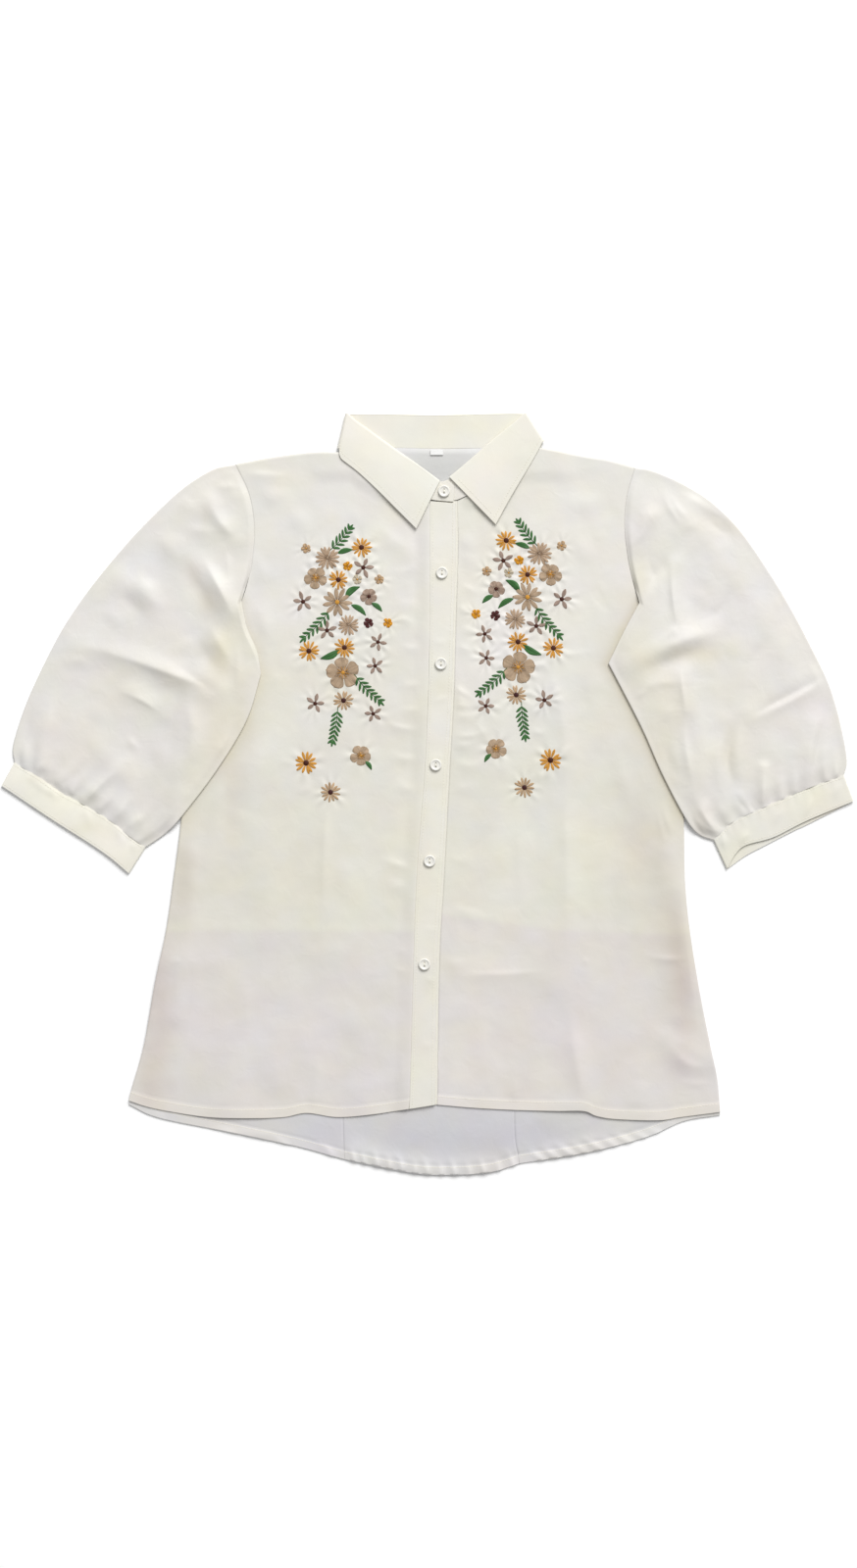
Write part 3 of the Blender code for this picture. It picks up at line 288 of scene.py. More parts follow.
SLEEVE_CREASES = {
    "right": [
        (-350, 148, -278, 126, -203, 98, 16, 5.5, 3.4, 0.65, 1.2),
        (-252, 128, -226, 112, -200, 92, 6, 5, -1.3, 0.6, 1.5),
        (-302, 101, -276, 89, -256, 76, 4, 2.0, 1.1, 0.6, 1.2),
        (-213, 285, -201, 262, -185, 246, 5, 7, 2.1, 0.6, 1.3),
        (-222, 236, -202, 200, -182, 160, 9, 10, 4.2, 0.5, 1.4),
        (-244, 236, -224, 202, -204, 166, 7, 9, -1.7, 0.5, 1.8),
        (-218, 228, -200, 196, -188, 172, 1.6, 3, 0.6, 0.5, 1.2),
        (-238, 250, -222, 254, -198, 250, 5, 8, 0.9, 0.5, 1.7),
        (-196, 236, -193, 222, -194, 206, 3, 5, 0.9, 0.5, 1.5),
        (-216, 168, -200, 142, -186, 116, 7, 9, 2.4, 0.5, 1.5),
        (-226, 152, -214, 132, -200, 114, 6, 8, -1.2, 0.5, 1.8),
        (-290, 212, -270, 190, -250, 174, 9, 8, 2.1, 0.5, 1.6),
        (-304, 200, -286, 182, -268, 168, 6, 8, -1.1, 0.5, 2.0),
        (-314, 182, -300, 166, -286, 158, 6, 6, 0.7, 0.5, 1.8),
        (-284, 208, -270, 199, -256, 192, 5, 5, 0.7, 0.5, 1.6),
        (-268, 252, -252, 240, -246, 222, 7, 7, 0.7, 0.5, 1.8),
        (-246, 282, -232, 278, -214, 270, 6, 8, 0.7, 0.4, 1.8),
        (-206, 302, -196, 296, -184, 300, 4, 5, 0.8, 0.6, 1.5),
        (-189, 196, -180, 172, -172, 140, 4, 4, 0.9, 0.5, 1.4),
        (-183, 150, -184, 110, -186, 84, 4, 4, 0.8, 0.4, 1.4),
        (-190, 76, -196, 50, -210, 26, 5, 6, 0.7, 0.5, 1.6),
        (-232, 96, -228, 70, -234, 40, 7, 6, 0.8, 0.5, 1.8),
        (-291, 56, -284, 46, -278, 42, 3, 4, 0.7, 0.5, 1.5),
        (-270, 60, -254, 34, -252, 6, 10, 9, 0.8, 0.5, 2.0),
        (-364, 104, -368, 68, -380, 36, 6, 9, 1.5, 0.5, 1.7),
        (-386, 96, -390, 60, -394, 32, 6, 5, -0.9, 0.5, 1.8),
        (-234, 92, -226, 52, -244, 6, 9, 7, 1.6, 0.5, 1.6),
        (-332, 92, -318, 74, -300, 66, 8, 8, 0.6, 0.5, 2.0),
        (-352, 122, -338, 128, -322, 120, 4, 7, 0.6, 0.4, 1.8),
        (-333, -11, -314, 10, -293, 28, 4, 5, 1.5, 0.3, 1.25),
        (-359, -1, -350, 6, -337, 18, 4, 5, 1.3, 0.3, 1.5),
        (-381, 14, -378, 22, -373, 32, 3, 4, 0.9, 0.25, 1.5),
        (-369, 8, -366, 20, -362, 34, 3, 4, 0.7, 0.2, 1.8),
        (-346, -4, -342, 4, -338, 10, 2.5, 3, 0.7, 0.25, 1.6),
        (-320, -19, -310, -8, -298, 2, 3, 4, 0.8, 0.25, 1.6),
        (-305, -29, -294, -14, -280, 2, 3, 6, 1.0, 0.3, 1.5),
        (-292, -38, -284, -28, -268, -20, 3, 4, 0.8, 0.3, 1.6),
        (-391, 22, -390, 36, -388, 54, 3, 5, 0.8, 0.3, 1.8),
        (-250, 130, -236, 142, -216, 146, 6, 7, 0.5, 0.5, 2.0),
    ],
    "left": [
        (392, 118, 352, 95, 308, 72, 2.6, 8, -2.6, 0.55, 1.3),
        (392, 112, 352, 90, 310, 69, 5, 2.5, 0.9, 0.5, 1.3),
        (236, 232, 237, 192, 242, 156, 4, 3, 1.9, 0.6, 1.2),
        (243, 161, 233, 153, 221, 146, 4, 3, 0.8, 0.3, 1.3),
        (204, 126, 244, 146, 290, 158, 10, 9, 3.4, 0.55, 1.5),
        (200, 112, 236, 128, 278, 140, 7, 8, -1.6, 0.5, 1.8),
        (192, 96, 224, 106, 262, 108, 7, 5, 0.9, 0.5, 1.5),
        (254, 290, 286, 276, 314, 248, 8, 8, 1.5, 0.5, 1.6),
        (250, 274, 280, 262, 304, 238, 8, 7, -1.5, 0.5, 1.8),
        (227, 295, 234, 276, 247, 255, 4, 3, 1.1, 0.5, 1.3),
        (233, 292, 244, 273, 258, 260, 3, 4, 0.9, 0.5, 1.3),
        (266, 256, 254, 259, 242, 252, 4, 6, 0.8, 0.5, 1.5),
        (216, 268, 207, 250, 192, 234, 3, 4, 0.9, 0.5, 1.3),
        (222, 280, 210, 262, 200, 262, 6, 8, 0.7, 0.5, 1.8),
        (242, 242, 222, 212, 206, 186, 4, 5, -1.3, 0.6, 1.4),
        (214, 230, 217, 216, 220, 205, 3, 3, -0.6, 0.6, 1.4),
        (230, 220, 226, 204, 224, 184, 4, 5, 0.6, 0.5, 1.7),
        (294, 204, 284, 178, 262, 168, 5, 4, -0.9, 0.5, 1.5),
        (268, 226, 272, 206, 282, 196, 7, 7, 0.7, 0.5, 1.8),
        (288, 246, 276, 228, 282, 208, 7, 7, 0.6, 0.5, 2.0),
        (250, 186, 262, 190, 276, 186, 5, 6, 0.5, 0.5, 1.8),
        (306, 76, 300, 36, 304, 0, 6, 5, 0.9, 0.5, 1.6),
        (301, 80, 290, 34, 299, -2, 5, 7, -2.3, 0.55, 1.5),
        (290, 70, 280, 30, 284, -4, 6, 5, 1.1, 0.5, 1.6),
        (296, 2, 303, -10, 315, -22, 3, 3, -1.0, 0.5, 1.4),
        (390, 92, 378, 48, 370, 0, 3, 7, -1.8, 0.6, 1.4),
        (384, 92, 372, 48, 364, 4, 4, 3, 0.8, 0.6, 1.5),
        (396, 60, 386, 40, 384, 16, 5, 5, 0.6, 0.5, 1.8),
        (326, 28, 325, 6, 324, -14, 2.5, 3, 1.2, 0.8, 1.3),
        (308, -4, 311, -14, 316, -22, 2.5, 3, 1.0, 0.8, 1.4),
        (345, 16, 344, 4, 344, -8, 2.5, 3, 0.7, 0.8, 1.5),
        (357, 20, 356, 8, 357, -2, 2.5, 3, 0.7, 0.8, 1.5),
        (384, 34, 384, 20, 386, 10, 3, 3, 0.8, 0.8, 1.5),
        (396, 34, 395, 24, 397, 14, 2.5, 3, 0.8, 0.8, 1.5),
        (260, -8, 270, -26, 282, -40, 3, 4, 1.7, 0.6, 1.3),
        (254, -20, 264, -34, 272, -44, 3, 3, 1.0, 0.7, 1.4),
        (276, 4, 284, -16, 290, -34, 4, 5, 1.1, 0.6, 1.6),
        (334, 156, 317, 132, 303, 109, 6, 5, -0.8, 0.5, 1.8),
        (352, 170, 344, 140, 350, 112, 10, 9, 0.6, 0.5, 2.0),
        (244, 122, 247, 96, 250, 72, 2.5, 3, 1.4, 0.5, 1.3),
        (248, 78, 250, 40, 258, 2, 3, 5, 1.5, 0.5, 1.4),
        (234, 70, 232, 40, 240, 8, 5, 6, -0.9, 0.5, 1.8),
        (214, 101, 207, 96, 201, 89, 2.5, 3, 0.6, 0.5, 1.5),
        (240, 88, 232, 76, 228, 66, 4, 4, 0.6, 0.5, 1.7),
        (226, 60, 236, 40, 240, 16, 6, 6, 0.6, 0.5, 2.0),
        (268, 90, 262, 60, 270, 26, 9, 8, 0.7, 0.5, 2.0),
        (338, 70, 330, 44, 338, 20, 9, 9, 0.6, 0.5, 2.0),
        (270, -2, 268, -16, 262, -24, 4, 4, 0.6, 0.5, 1.7),
    ],
}
PLACKET_CREASES = [
    (4, 88, 14, 91, 23, 92, 1.6, 3, 0.40, 0.5, 1.3),
    (-5, -178, 3, -181, 11, -181, 1.6, 3, 0.40, 0.5, 1.3),
    (0, 226, 12, 222, 26, 226, 2.0, 4, 0.25, 0.5, 1.6),
    (2, 150, 12, 146, 24, 149, 2.0, 4, 0.25, 0.5, 1.6),
    (-2, 34, 8, 36, 20, 33, 2.0, 4, 0.30, 0.5, 1.5),
    (-4, -60, 6, -63, 16, -60, 2.0, 4, 0.30, 0.5, 1.5),
    (-6, -128, 2, -132, 13, -130, 2.0, 4, 0.25, 0.5, 1.6),
    (-8, -240, 0, -244, 10, -242, 2.0, 4, 0.25, 0.5, 1.6),
]
CUFF_CREASES = [
    (-394, 22, -374, 6, -350, -8, 5, 3, 0.6, 0.5, 1.6),
    (-366, 8, -362, -2, -364, -10, 3, 4, 0.5, 0.4, 1.5),
    (-334, -12, -328, -24, -326, -38, 3, 4, 0.6, 0.4, 1.5),
    (-312, -26, -300, -36, -292, -54, 3, 5, 0.8, 0.5, 1.4),
    (-288, -44, -284, -52, -286, -60, 3, 3, 0.6, 0.5, 1.5),
    (373, -1, 369, -14, 364, -28, 1.8, 3, 0.8, 0.5, 1.3),
    (312, -36, 306, -44, 301, -54, 2.4, 4, 0.9, 0.4, 1.4),
    (288, -38, 286, -46, 290, -56, 4, 3, 0.8, 0.5, 1.5),
    (345, -14, 338, -24, 336, -34, 3, 4, 0.5, 0.4, 1.6),
    (402, 12, 396, 2, 392, -10, 3, 4, 0.6, 0.4, 1.5),
]
BACK_CREASES = [
    (-60, 250, -20, 180, -36, 90, 9, 14, 0.40, 0.5, 2),
    (70, 220, 40, 120, 58, 20, 14, 9, 0.40, 0.5, 2),
    (-180, 150, -160, 40, -176, -90, 10, 16, 0.45, 0.5, 2),
    (190, 120, 176, -10, 190, -150, 16, 10, 0.45, 0.4, 2),
    (-40, -40, -52, -150, -30, -260, 10, 14, 0.40, 0.5, 2),
    (56, -60, 44, -160, 60, -270, 12, 9, 0.35, 0.5, 2),
    (-150, -150, -140, -220, -156, -300, 9, 13, 0.40, 0.6, 2),
    (150, -140, 166, -220, 158, -300, 13, 8, 0.40, 0.6, 2),
    (-240, -170, -200, -176, -160, -168, 4, 10, 0.35, 0.5, 1.5),
    (150, -166, 190, -172, 236, -164, 10, 4, 0.35, 0.5, 1.5),
    (-20, -172, 20, -168, 80, -174, 4, 9, 0.35, 0.5, 1.5),
    (-140, 280, -100, 262, -60, 268, 8, 12, 0.35, 0.5, 2),
    (150, 276, 110, 262, 70, 270, 12, 8, 0.35, 0.5, 2),
]
HEM_CREASES = [
    (-272, -300, -262, -308, -250, -318, 3, 4, 0.8, 0.7, 1.6),
    (-216, -316, -198, -324, -180, -334, 3, 4, 0.6, 0.6, 1.6),
    (-158, -328, -144, -336, -130, -346, 3, 4, 0.7, 0.7, 1.6),
    (-112, -334, -98, -344, -88, -356, 3, 4, 1.0, 0.7, 1.4),
    (-78, -341, -72, -350, -70, -362, 2.2, 3.4, 1.5, 0.7, 1.3),
    (-66, -344, -62, -353, -60, -364, 2.0, 3.0, 1.1, 0.7, 1.4),
    (-56, -342, -50, -353, -48, -366, 2.4, 3.2, 1.4, 0.7, 1.3),
    (-42, -348, -37, -357, -36, -368, 2.0, 3.0, 1.0, 0.7, 1.4),
    (-34, -346, -26, -357, -24, -370, 2.4, 3.6, 1.5, 0.7, 1.3),
    (-16, -352, -12, -360, -12, -372, 2.0, 3.0, 1.0, 0.7, 1.4),
    (-8, -350, -1, -361, 1, -374, 2.4, 3.4, 1.4, 0.7, 1.3),
    (8, -354, 13, -363, 14, -375, 2.2, 3.0, 1.1, 0.7, 1.4),
    (18, -350, 25, -362, 28, -376, 2.4, 3.6, 1.5, 0.7, 1.3),
    (34, -355, 40, -363, 42, -376, 2.0, 3.0, 1.1, 0.7, 1.4),
    (46, -350, 53, -360, 57, -374, 2.4, 3.4, 1.4, 0.7, 1.3),
    (62, -350, 68, -359, 71, -372, 2.2, 3.0, 1.2, 0.7, 1.4),
    (74, -344, 81, -354, 86, -368, 2.2, 3.4, 1.5, 0.7, 1.3),
    (94, -342, 104, -350, 118, -360, 2.4, 3.4, 1.4, 0.6, 1.3),
    (106, -340, 118, -348, 132, -358, 2.2, 3.0, 1.1, 0.6, 1.3),
    (118, -336, 132, -345, 148, -356, 2.6, 3.6, 1.5, 0.6, 1.3),
    (134, -336, 146, -343, 160, -353, 2.2, 3.0, 1.1, 0.6, 1.3),
    (146, -331, 160, -340, 176, -350, 2.6, 3.6, 1.4, 0.6, 1.3),
    (164, -331, 176, -338, 190, -347, 2.2, 3.0, 1.1, 0.6, 1.3),
    (176, -327, 190, -335, 206, -343, 2.6, 3.6, 1.4, 0.6, 1.3),
    (194, -326, 206, -332, 220, -339, 2.2, 3.0, 1.0, 0.6, 1.3),
    (208, -320, 220, -327, 236, -334, 2.4, 3.2, 1.1, 0.6, 1.3),
    (226, -316, 238, -321, 252, -327, 2.2, 3.0, 0.8, 0.6, 1.4),
]

# Sections of the collar: the fold, the neck seam and the edge of the leaf as x, y, the turn in degrees, the lift.
COLLAR = [
    (26.0, 299.0, 25.0, 282.0, 0, 0, 0, 0.2),
    (20.0, 303.5, 17.0, 282.6, 0, 0, 0, 0.2),
    (12.0, 302.5, 8.0, 283.4, -11.0, 256.0, 0, 0.2),
    (-11.4, 319.5, -15.0, 288.0, -30.0, 275.0, 0, 0),
    (-34.0, 335.2, -36.0, 294.8, -49.0, 294.0, 0, 0),
    (-57.0, 352.0, -61.0, 308.0, -68.0, 311.5, 0, 0),
    (-71.0, 362.0, -76.0, 321.0, -84.0, 324.5, 0, 0),
    (-76.6, 367.6, -79.7, 331.4, -85.3, 328.8, 0, 0),
    (-76.6, 367.6, -79.7, 331.9, -84.6, 333.4, 30, 0),
    (-76.6, 367.6, -79.7, 331.9, -84.6, 333.4, 60, 0),
    (-76.6, 367.6, -79.7, 331.9, -84.6, 333.4, 90, 0),
    (-76.6, 367.6, -79.7, 331.9, -84.6, 333.4, 120, 0),
    (-76.6, 367.6, -79.7, 331.9, -84.6, 333.4, 150, 0),
    (-76.6, 367.6, -79.7, 331.9, -84.6, 329.0, 180, 0),
    (-66.5, 367.4, -64.6, 332.5, -70.0, 325.0, 180, 0),
    (-34.0, 367.2, -34.0, 334.4, -38.0, 322.5, 180, 0),
    (7.6, 366.4, 7.6, 333.6, 9.5, 321.5, 180, 0),
    (49.4, 367.4, 51.0, 334.0, 59.0, 322.5, 180, 0),
    (81.7, 368.0, 85.5, 336.0, 93.0, 327.8, 180, 0),
    (93.7, 367.6, 103.6, 337.2, 110.0, 334.5, 180, 0),
    (93.7, 367.6, 103.6, 337.4, 110.7, 339.8, 150, 0),
    (93.7, 367.6, 103.6, 337.4, 110.7, 339.8, 120, 0),
    (93.7, 367.6, 103.6, 337.4, 110.7, 339.8, 90, 0),
    (93.7, 367.6, 103.6, 337.4, 110.7, 339.8, 60, 0),
    (93.7, 367.6, 103.6, 337.4, 110.7, 339.8, 30, 0),
    (93.7, 367.6, 103.4, 336.4, 109.5, 336.5, 0, 0),
    (87.4, 361.8, 99.8, 324.5, 105.0, 328.0, 0, 0),
    (74.0, 350.9, 81.7, 309.7, 96.0, 312.5, 0, 0),
    (58.0, 337.6, 57.0, 296.9, 86.0, 296.0, 0, 0),
    (40.0, 321.8, 38.0, 287.9, 76.5, 279.5, 0, 0),
    (21.0, 306.0, 25.0, 283.4, 66.0, 260.0, 0, -0.9),
    (11.0, 300.0, 11.0, 283.6, 0, 0, 0, -1.4),
]
LEAF_FIRST, LEAF_LAST = 2, 30
COLLAR_BETWEEN = 6

BUTTONS = [(16, 292), (14, 213), (13, 125), (8, 27), (2, -66), (-3, -166)]
LABEL_CENTRE = (9.0, 329.6)
LABEL_SIZE = (12.0, 5.0)

# Flowers and leaves of the spray on the wearer's right: kind, thread, x, y, diameter and the turn of the first petal.
# The spray on the other front is its mirror image.
FLOWERS = [
    ("daisy", "orange", -64.0, 237.7, 20.5, 4),
    ("daisy", "orange", -86.3, 206.3, 20.0, 14),
    ("daisy", "orange", -114.9, 137.3, 20.5, 8),
    ("daisy", "orange", -80.4, 140.7, 20.5, 20),
    ("daisy", "orange", -117.6, 28.9, 23.0, 2),
    ("daisy", "sand", -81.3, 89.4, 20.0, 10),
    ("daisy", "sand", -93.9, 0.6, 20.5, 16),
    ("aster", "taupe", -96.7, 227.4, 24.0, 5),
    ("aster", "taupe", -76.4, 162.4, 20.8, 12),
    ("long", "fawn", -87.4, 184.6, 29.0, 96),
    ("wide", "fawn", -108.4, 208.3, 21.5, 49),
    ("wide", "fawn", -81.8, 116.4, 31.0, 97),
    ("wide", "fawn", -64.5, 36.1, 20.0, 55),
    ("round", "rose", -56.8, 190.3, 16.6, 54),
    ("star", "mauve", -62.2, 218.2, 20.5, 0),
    ("star", "mauve", -120.5, 185.2, 20.0, 30),
    ("star", "mauve", -97.3, 157.4, 19.5, 22),
    ("star", "mauve", -48.0, 146.1, 17.6, 355),
    ("star", "mauve", -50.7, 123.0, 17.6, 32),
    ("star", "mauve", -108.8, 86.5, 19.0, 3),
    ("star", "mauve", -52.6, 76.6, 17.6, 32),
    ("small", "sand", -117.5, 236.7, 9.8, 40),
    ("small", "amber", -77.4, 219.5, 9.8, 10),
    ("small", "amber", -38.4, 164.6, 9.8, 60),
    ("small", "pale", -68.0, 206.6, 9.8, 30),
    ("small", "sand", -46.6, 206.6, 9.8, 20),
    ("small", "maroon", -57.3, 164.6, 10.2, 45),
]
# Leaves: base x, y, tip x, y, width and how far the middle bends to the left.
LEAVES = [
    (-86.9, 232.1, -72.4, 235.6, 5.6, 0.8),
    (-79.6, 188.8, -65.3, 199.7, 7.0, 2.2),
    (-54.2, 183.9, -43.9, 175.6, 5.2, 1.0),
    (-73.9, 182.2, -59.5, 171.6, 5.8, 1.6),
    (-85.0, 138.2, -103.9, 130.0, 7.2, 1.6),
    (-60.2, 30.8, -54.0, 22.2, 4.4, 0.8),
]
# Ferns: base x, y, tip x, y, pairs of leaflets, their length and how far the middle bends to the left.
FERNS = [
    (-95.5, 234.0, -72.6, 259.2, 6, 9.4, -1.2),
    (-93.0, 179.2, -123.2, 146.0, 7, 9.4, 1.6),
    (-71.8, 115.8, -42.6, 85.0, 7, 9.4, -1.4),
    (-86.6, 84.0, -92.8, 45.4, 7, 9.6, 0.8),
]

# Threads and cloths as display colours.
THREADS = {
    "orange": (198, 142, 60),
    "sand": (176, 148, 116),
    "taupe": (168, 144, 120),
    "fawn": (164, 142, 118),
    "rose": (158, 136, 120),
    "mauve": (146, 126, 114),
    "amber": (200, 138, 28),
    "pale": (186, 174, 152),
    "maroon": (76, 34, 34),
    "dark": (64, 26, 14),
    "gold": (196, 142, 56),
    "leaf": (56, 100, 52),
    "stem": (52, 92, 44),
    "ivory": (232, 228, 214),
}
CLOTHS = {
    "front": (216, 213, 205),
    "back": (202, 201, 200),
    "sleeve": (217, 214, 208),
    "band": (223, 220, 209),
    "label": (232, 232, 230),
    "pearl": (228, 226, 219),
    "floor": (252, 252, 252),
}

STRAND = 0.5
STITCH_LENGTH, STITCH_PITCH, STITCH_WIDTH = 2.1, 2.9, 0.5


def smooth_step(value):
    value = np.clip(value, 0.0, 1.0)
    return value * value * (3.0 - 2.0 * value)


def steps(cells):
    return np.linspace(0.0, 1.0, cells + 1)


def unit(vectors):
    return vectors / np.maximum(np.linalg.norm(vectors, axis=-1, keepdims=True), 1e-9)


def display(colour):
    """A display colour, 0 to 255 a channel, as linear light."""
    share = np.asarray(colour, float) / 255.0
    return np.where(share <= 0.04045, share / 12.92, ((share + 0.055) / 1.055) ** 2.4)


def lengths_along(line):
    gaps = np.linalg.norm(np.diff(line, axis=0), axis=-1)
    return np.concatenate([np.zeros((1, *gaps.shape[1:])), np.cumsum(gaps, axis=0)])


def curve(points, fractions):
    """Points at these fractions of the length of a smooth curve through the given points."""
    points = np.asarray(points, float)
    ends = np.vstack([2 * points[0] - points[1], points, 2 * points[-1] - points[-2]])
    fine = []
    for i in range(1, len(ends) - 2):
        p0, p1, p2, p3 = ends[i - 1], ends[i], ends[i + 1], ends[i + 2]
        for t in np.linspace(0, 1, 12, endpoint=False):
            fine.append(0.5 * (2 * p1 + (p2 - p0) * t + (2 * p0 - 5 * p1 + 4 * p2 - p3) * t * t
                               + (3 * p1 - p0 - 3 * p2 + p3) * t ** 3))
    fine = np.array(fine + [points[-1]])
    along = lengths_along(fine)
    want = np.asarray(fractions) * along[-1]
    return np.stack([np.interp(want, along, fine[:, k]) for k in range(fine.shape[1])], axis=1)


def chain(*pieces):
    """Several curves joined end to end, each given as its points and the fractions to place points at."""
    rows = [curve(points, fractions) for points, fractions in pieces]
    return np.vstack([rows[0]] + [row[1:] for row in rows[1:]])


def moved(points, x, y):
    return [(px + x, py + y) for px, py in points]


def patch(left, right, bottom, top):
    """A grid of points filled in between four edges, which share their corners."""
    v, w, u, q = (lengths_along(line) / lengths_along(line)[-1] for line in (left, right, bottom, top))
    v, w, u, q = v[:, None], w[:, None], u[None], q[None]
    high = (v + w) / 2
    across = ((1 - high) * u + high * q)[..., None]
    high = (1 - across) * v[..., None] + across * w[..., None]
    sides = (1 - across) * left[:, None] + across * right[:, None]
    ends = (1 - high) * bottom[None] + high * top[None]
    corners = ((1 - across) * (1 - high) * bottom[0] + across * (1 - high) * bottom[-1]
               + (1 - across) * high * top[0] + across * high * top[-1])
    grid = sides + ends - corners
    grid[:, 0], grid[:, -1], grid[0], grid[-1] = left, right, bottom, top
    return grid


def distance_to(points, line, outer_side=1):
    """Distance from a line, negative on its inner side. Beyond its first end it counts as outside."""
    line = np.asarray(line, float)
    best = np.full(points.shape[:-1], 1e9)
    signed = np.zeros(points.shape[:-1])
    for number, (start, end) in enumerate(zip(line[:-1], line[1:])):
        along = end - start
        t = ((points - start) @ along) / np.dot(along, along)
        offset = points - start - np.clip(t, 0, 1)[..., None] * along
        near = np.linalg.norm(offset, axis=-1)
        side = np.sign(along[0] * (points - start)[..., 1] - along[1] * (points - start)[..., 0]) * outer_side
        if number == 0:
            side = np.where(t < 0, 1.0, side)
        closer = near < best
        signed = np.where(closer, near * side, signed)
        best = np.where(closer, near, best)
    return signed


def relief(points, folds, most):
    """Height that the broad folds add at each point."""
    total = np.zeros(points.shape[:-1])
    for x0, y0, x1, y1, half_width, height0, height1 in folds:
        start, along = np.array([x0, y0]), np.array([x1 - x0, y1 - y0])
        t = np.clip(((points - start) @ along) / np.dot(along, along), 0, 1)
        away = np.linalg.norm(points - start - t[..., None] * along, axis=-1)
        total = total + (height0 + (height1 - height0) * t) * np.exp(-(away / half_width) ** 2)
    return most * np.tanh(total / most)


CREASE_CELLS = 8
CREST = 0.5


def creases(points, table):
    """Height that the fine creases add at each point."""
    total = np.zeros(points.shape[:-1])
    for x0, y0, xm, ym, x1, y1, left_width, right_width, height, peak, softness in table:
        line = curve([(x0, y0), (xm, ym), (x1, y1)], steps(CREASE_CELLS))
        reach = 3.2 * max(left_width, right_width)
        low, high = line.min(axis=0) - reach, line.max(axis=0) + reach
        inside = np.all((points > low) & (points < high), axis=-1)
        if not inside.any():
            continue
        near = points[inside]
        best, place, side = np.full(len(near), 1e9), np.zeros(len(near)), np.ones(len(near))
        for k, (start, end) in enumerate(zip(line[:-1], line[1:])):
            along = end - start
            t = np.clip(((near - start) @ along) / np.dot(along, along), 0, 1)
            offset = near - start - t[:, None] * along
            away = np.linalg.norm(offset, axis=1)
            closer = away < best
            turn = along[0] * offset[:, 1] - along[1] * offset[:, 0]
            best, place = np.where(closer, away, best), np.where(closer, (k + t) / CREASE_CELLS, place)
            side = np.where(closer, turn, side)
        width = np.where(side > 0, left_width, right_width)
        rise = smooth_step(place / peak) * smooth_step((1 - place) / (1 - peak))
        total[inside] += height * rise * np.exp(-(np.sqrt(best ** 2 + CREST ** 2) - CREST) ** softness / width ** softness)
    return total


def wander(points, cell, seed):
    """Soft uneven values from -1 to 1 over the cloth, in bumps about as wide as the cell."""
    lattice = np.random.default_rng(seed).uniform(-1, 1, (64, 64))
    turn = 0.4 + seed
    x = (points[..., 0] * math.cos(turn) + points[..., 1] * math.sin(turn)) / cell + 320
    y = (points[..., 1] * math.cos(turn) - points[..., 0] * math.sin(turn)) / cell + 320
    i, j = np.floor(x).astype(int), np.floor(y).astype(int)
    u, v = smooth_step(x - i), smooth_step(y - j)
    i, j, k, m = i % 64, j % 64, (i + 1) % 64, (j + 1) % 64
    low = lattice[i, j] * (1 - u) + lattice[k, j] * u
    high = lattice[i, m] * (1 - u) + lattice[k, m] * u
    return low * (1 - v) + high * v


def lifted(points, wider=0.0):
    """Height that the body gains beside the collar."""
    x, y = points[..., 0], points[..., 1] + wider
    down = smooth_step((y - LIFT_END) / (LIFT_TOP - LIFT_END))
    out = smooth_step(1 - (np.maximum(LIFT_LEFT - x, x - LIFT_RIGHT) - wider) / LIFT_FADE)
    return LIFT * down * out


def sleeve_distance(points, hand):
    """How far each point is from the sleeve that lies over the body, negative under it."""
    if hand == "right":
        return distance_to(points, SLEEVE_HEAD_RIGHT[4:] + SLEEVE_UNDER_RIGHT[1:], 1)
    return distance_to(points, SLEEVE_HEAD_LEFT[4:] + SLEEVE_UNDER_LEFT[1:], -1)


def mirrored(points):
    """Where the spray on the wearer's right lies on the other front."""
    x, y = points[..., 0], points[..., 1]
    return np.stack([-x + 0.052 * y - 0.15, y + 0.075 * x + 11.5], axis=-1)


def flower_places(hand):
    places = np.array([flower[2:4] for flower in FLOWERS])
    sizes = np.array([flower[4] for flower in FLOWERS])
    return (places if hand == "right" else mirrored(places)), sizes


PUCKER_HEIGHT, PUCKER_REACH = 0.62, 6.5
THREAD_LIFT, RIM_SINK = 0.15, 0.34


def puckers(points, hand):
    """Little wrinkles that the stitching pulls into the cloth round each flower."""
    total = np.zeros(points.shape[:-1])
    places, sizes = flower_places(hand)
    for number, (place, size) in enumerate(zip(places, sizes)):
        offset = points - place
        away = np.linalg.norm(offset, axis=-1)
        near = away < size / 2 + 3.2 * PUCKER_REACH
        angle = np.arctan2(offset[..., 1], offset[..., 0])[near]
        rim = away[near] - size * 0.46
        count = 6 + number % 4
        waves = np.cos(count * angle + number) + 0.6 * np.cos((count + 3) * angle + 2.3 * number)
        strength = PUCKER_HEIGHT * (0.6 + size / 40) * np.exp(-(rim / PUCKER_REACH) ** 2)
        total[near] += strength * waves * smooth_step((rim + 5) / 5) * 0.55
    return total


def collar_clear(points):
    """1 on open cloth, falling to a little under the collar, where there is no room for creases."""
    x, y = points[..., 0], points[..., 1]
    under = smooth_step((y - 262) / 26) * smooth_step((x + 112) / 20) * smooth_step((132 - x) / 20)
    return 1 - 0.85 * under


